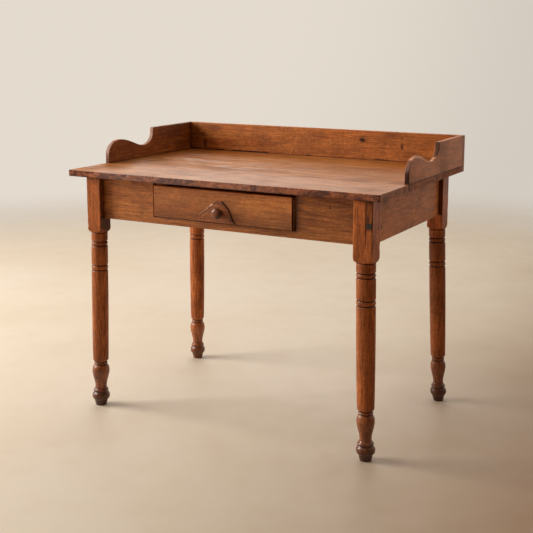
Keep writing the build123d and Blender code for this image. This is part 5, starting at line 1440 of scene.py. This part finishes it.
for node in ("drawer_runner_left", "drawer_runner_right", "drawer_guide_left", "drawer_guide_right",
             "drawer_kicker_left", "drawer_kicker_right", "drawer_side_left", "drawer_side_right"):
    finish_node(node, M["inner_y"], 0.7)
for node in ("drawer_stop_left", "drawer_stop_right", "drawer_back", "drawer_bottom", "top_glue_blocks"):
    finish_node(node, M["inner_x"], 0.7)
finish_node("post_plug", M["plug"], 0.3)
for node in ("gallery_nails", "drawer_nails", "drawer_bottom_nails", "plate_nails"):
    finish_node(node, M["iron"], 0.0)


# ---------------------------------------------------------------------------
# Floor, light, camera
# ---------------------------------------------------------------------------
def floor():
    n, R = 96, 9.0
    rad = [0.0, 0.6, 1.2, 2.0, 3.0, 4.2, 6.0, R]
    P, F = [(0.0, 0.0, 0.0)], []
    for r in rad[1:]:
        P += [(r * math.cos(t), r * math.sin(t), 0.0) for t in np.arange(n) * 2 * math.pi / n]
    F += [(0, 1 + j, 1 + (j + 1) % n) for j in range(n)]
    for k in range(len(rad) - 2):
        a, b = 1 + k * n, 1 + (k + 1) * n
        F += [(a + j, b + j, b + (j + 1) % n, a + (j + 1) % n) for j in range(n)]
    me = bpy.data.meshes.new("floor")
    me.from_pydata(P, [], F)
    ob = bpy.data.objects.new("floor", me)
    scene.collection.objects.link(ob)
    mat = bpy.data.materials.new("floor_plaster")
    T = Tree(mat)
    obj = T.add("ShaderNodeTexCoord").outputs["Object"]
    p = T.noise(obj, 1.3, 4.0, 0.55)
    q = T.noise(obj, 9.0, 5.0, 0.6)
    c = T.mix(T.step(p, 0.35, 0.7), lin(211, 200, 184), lin(206, 193, 174))
    c = T.mix(T.math("MULTIPLY", T.step(q, 0.45, 0.75), 0.12), c, lin(190, 172, 150))
    fx = T.add("ShaderNodeSeparateXYZ", {0: obj}).outputs[0]
    # painted shade: the floor darkens towards +X, away from the window
    c = T.mix(T.step(T.math("MULTIPLY_ADD", p, 0.3, fx), 0.12, 1.45), c, lin(146, 114, 86))
    nrm = T.add("ShaderNodeBump", {"Strength": 0.15, "Distance": 0.002, "Height": q}).outputs[0]
    bsdf = T.add("ShaderNodeBsdfPrincipled", {"Base Color": c, "Roughness": T.linear(q, 0.3, 0.7, 0.5, 0.62), "Normal": nrm, "Specular IOR Level": 0.34})
    far = T.vec("LENGTH", T.vec("MULTIPLY", obj, (1, 1, 0)))
    clear = T.add("ShaderNodeBsdfTransparent")
    mixs = T.add("ShaderNodeMixShader", {0: T.step(far, 2.6, 4.6), 1: bsdf.outputs[0], 2: clear.outputs[0]})
    T.add("ShaderNodeOutputMaterial", {0: mixs.outputs[0]})
    me.materials.append(mat)


floor()

world = bpy.data.worlds.new("studio")
scene.world = world
world.use_nodes = True
wt = world.node_tree
wt.nodes.clear()
W = Tree.__new__(Tree)
W.t = wt
d = W.add("ShaderNodeTexCoord").outputs["Generated"]
side = W.vec("DOT_PRODUCT", d, (-0.62, 0.78, 0.05))
wc = W.mix(W.step(side, -0.9, 0.7), lin(132, 112, 92), lin(244, 234, 221))
glow = W.math("ADD", W.step(side, 0.55, 0.88, 0.92, 0.72), W.step(side, 0.90, 0.985, 0.0, 0.14))
bg = W.add("ShaderNodeBackground", {0: wc, 1: glow})
W.add("ShaderNodeOutputWorld", {0: bg.outputs[0]})


def area(name, at, to, size, power, colour):
    li = bpy.data.lights.new(name, "AREA")
    li.shape = "RECTANGLE"
    li.size, li.size_y = size
    li.energy = power
    li.color = colour
    ob = bpy.data.objects.new(name, li)
    scene.collection.objects.link(ob)
    ob.location = at
    ob.rotation_euler = (Vector(to) - Vector(at)).to_track_quat("-Z", "Y").to_euler()
    return ob


area("window", (-3.3, -1.35, 1.8), (0, 0, 0.55), (1.9, 1.9), 155.0, (1.0, 0.945, 0.875))
area("sky", (-1.6, 2.6, 2.2), (0, 0, 0.7), (2.4, 1.6), 30.0, (1.0, 0.96, 0.91))

cam = bpy.data.cameras.new("camera")
cam.lens = 70.34
cam.sensor_width = 36.0
cam.sensor_fit = "AUTO"
cam.shift_y = -0.11257
cam.clip_start, cam.clip_end = 0.05, 100.0
co = bpy.data.objects.new("camera", cam)
scene.collection.objects.link(co)
co.location = (1.52728, -2.80018, 1.16721)
co.rotation_euler = (math.radians(90 - 9.6879), 0.0, math.radians(28.7723))
scene.camera = co

scene.view_settings.view_transform = "Standard"
scene.view_settings.look = "None"
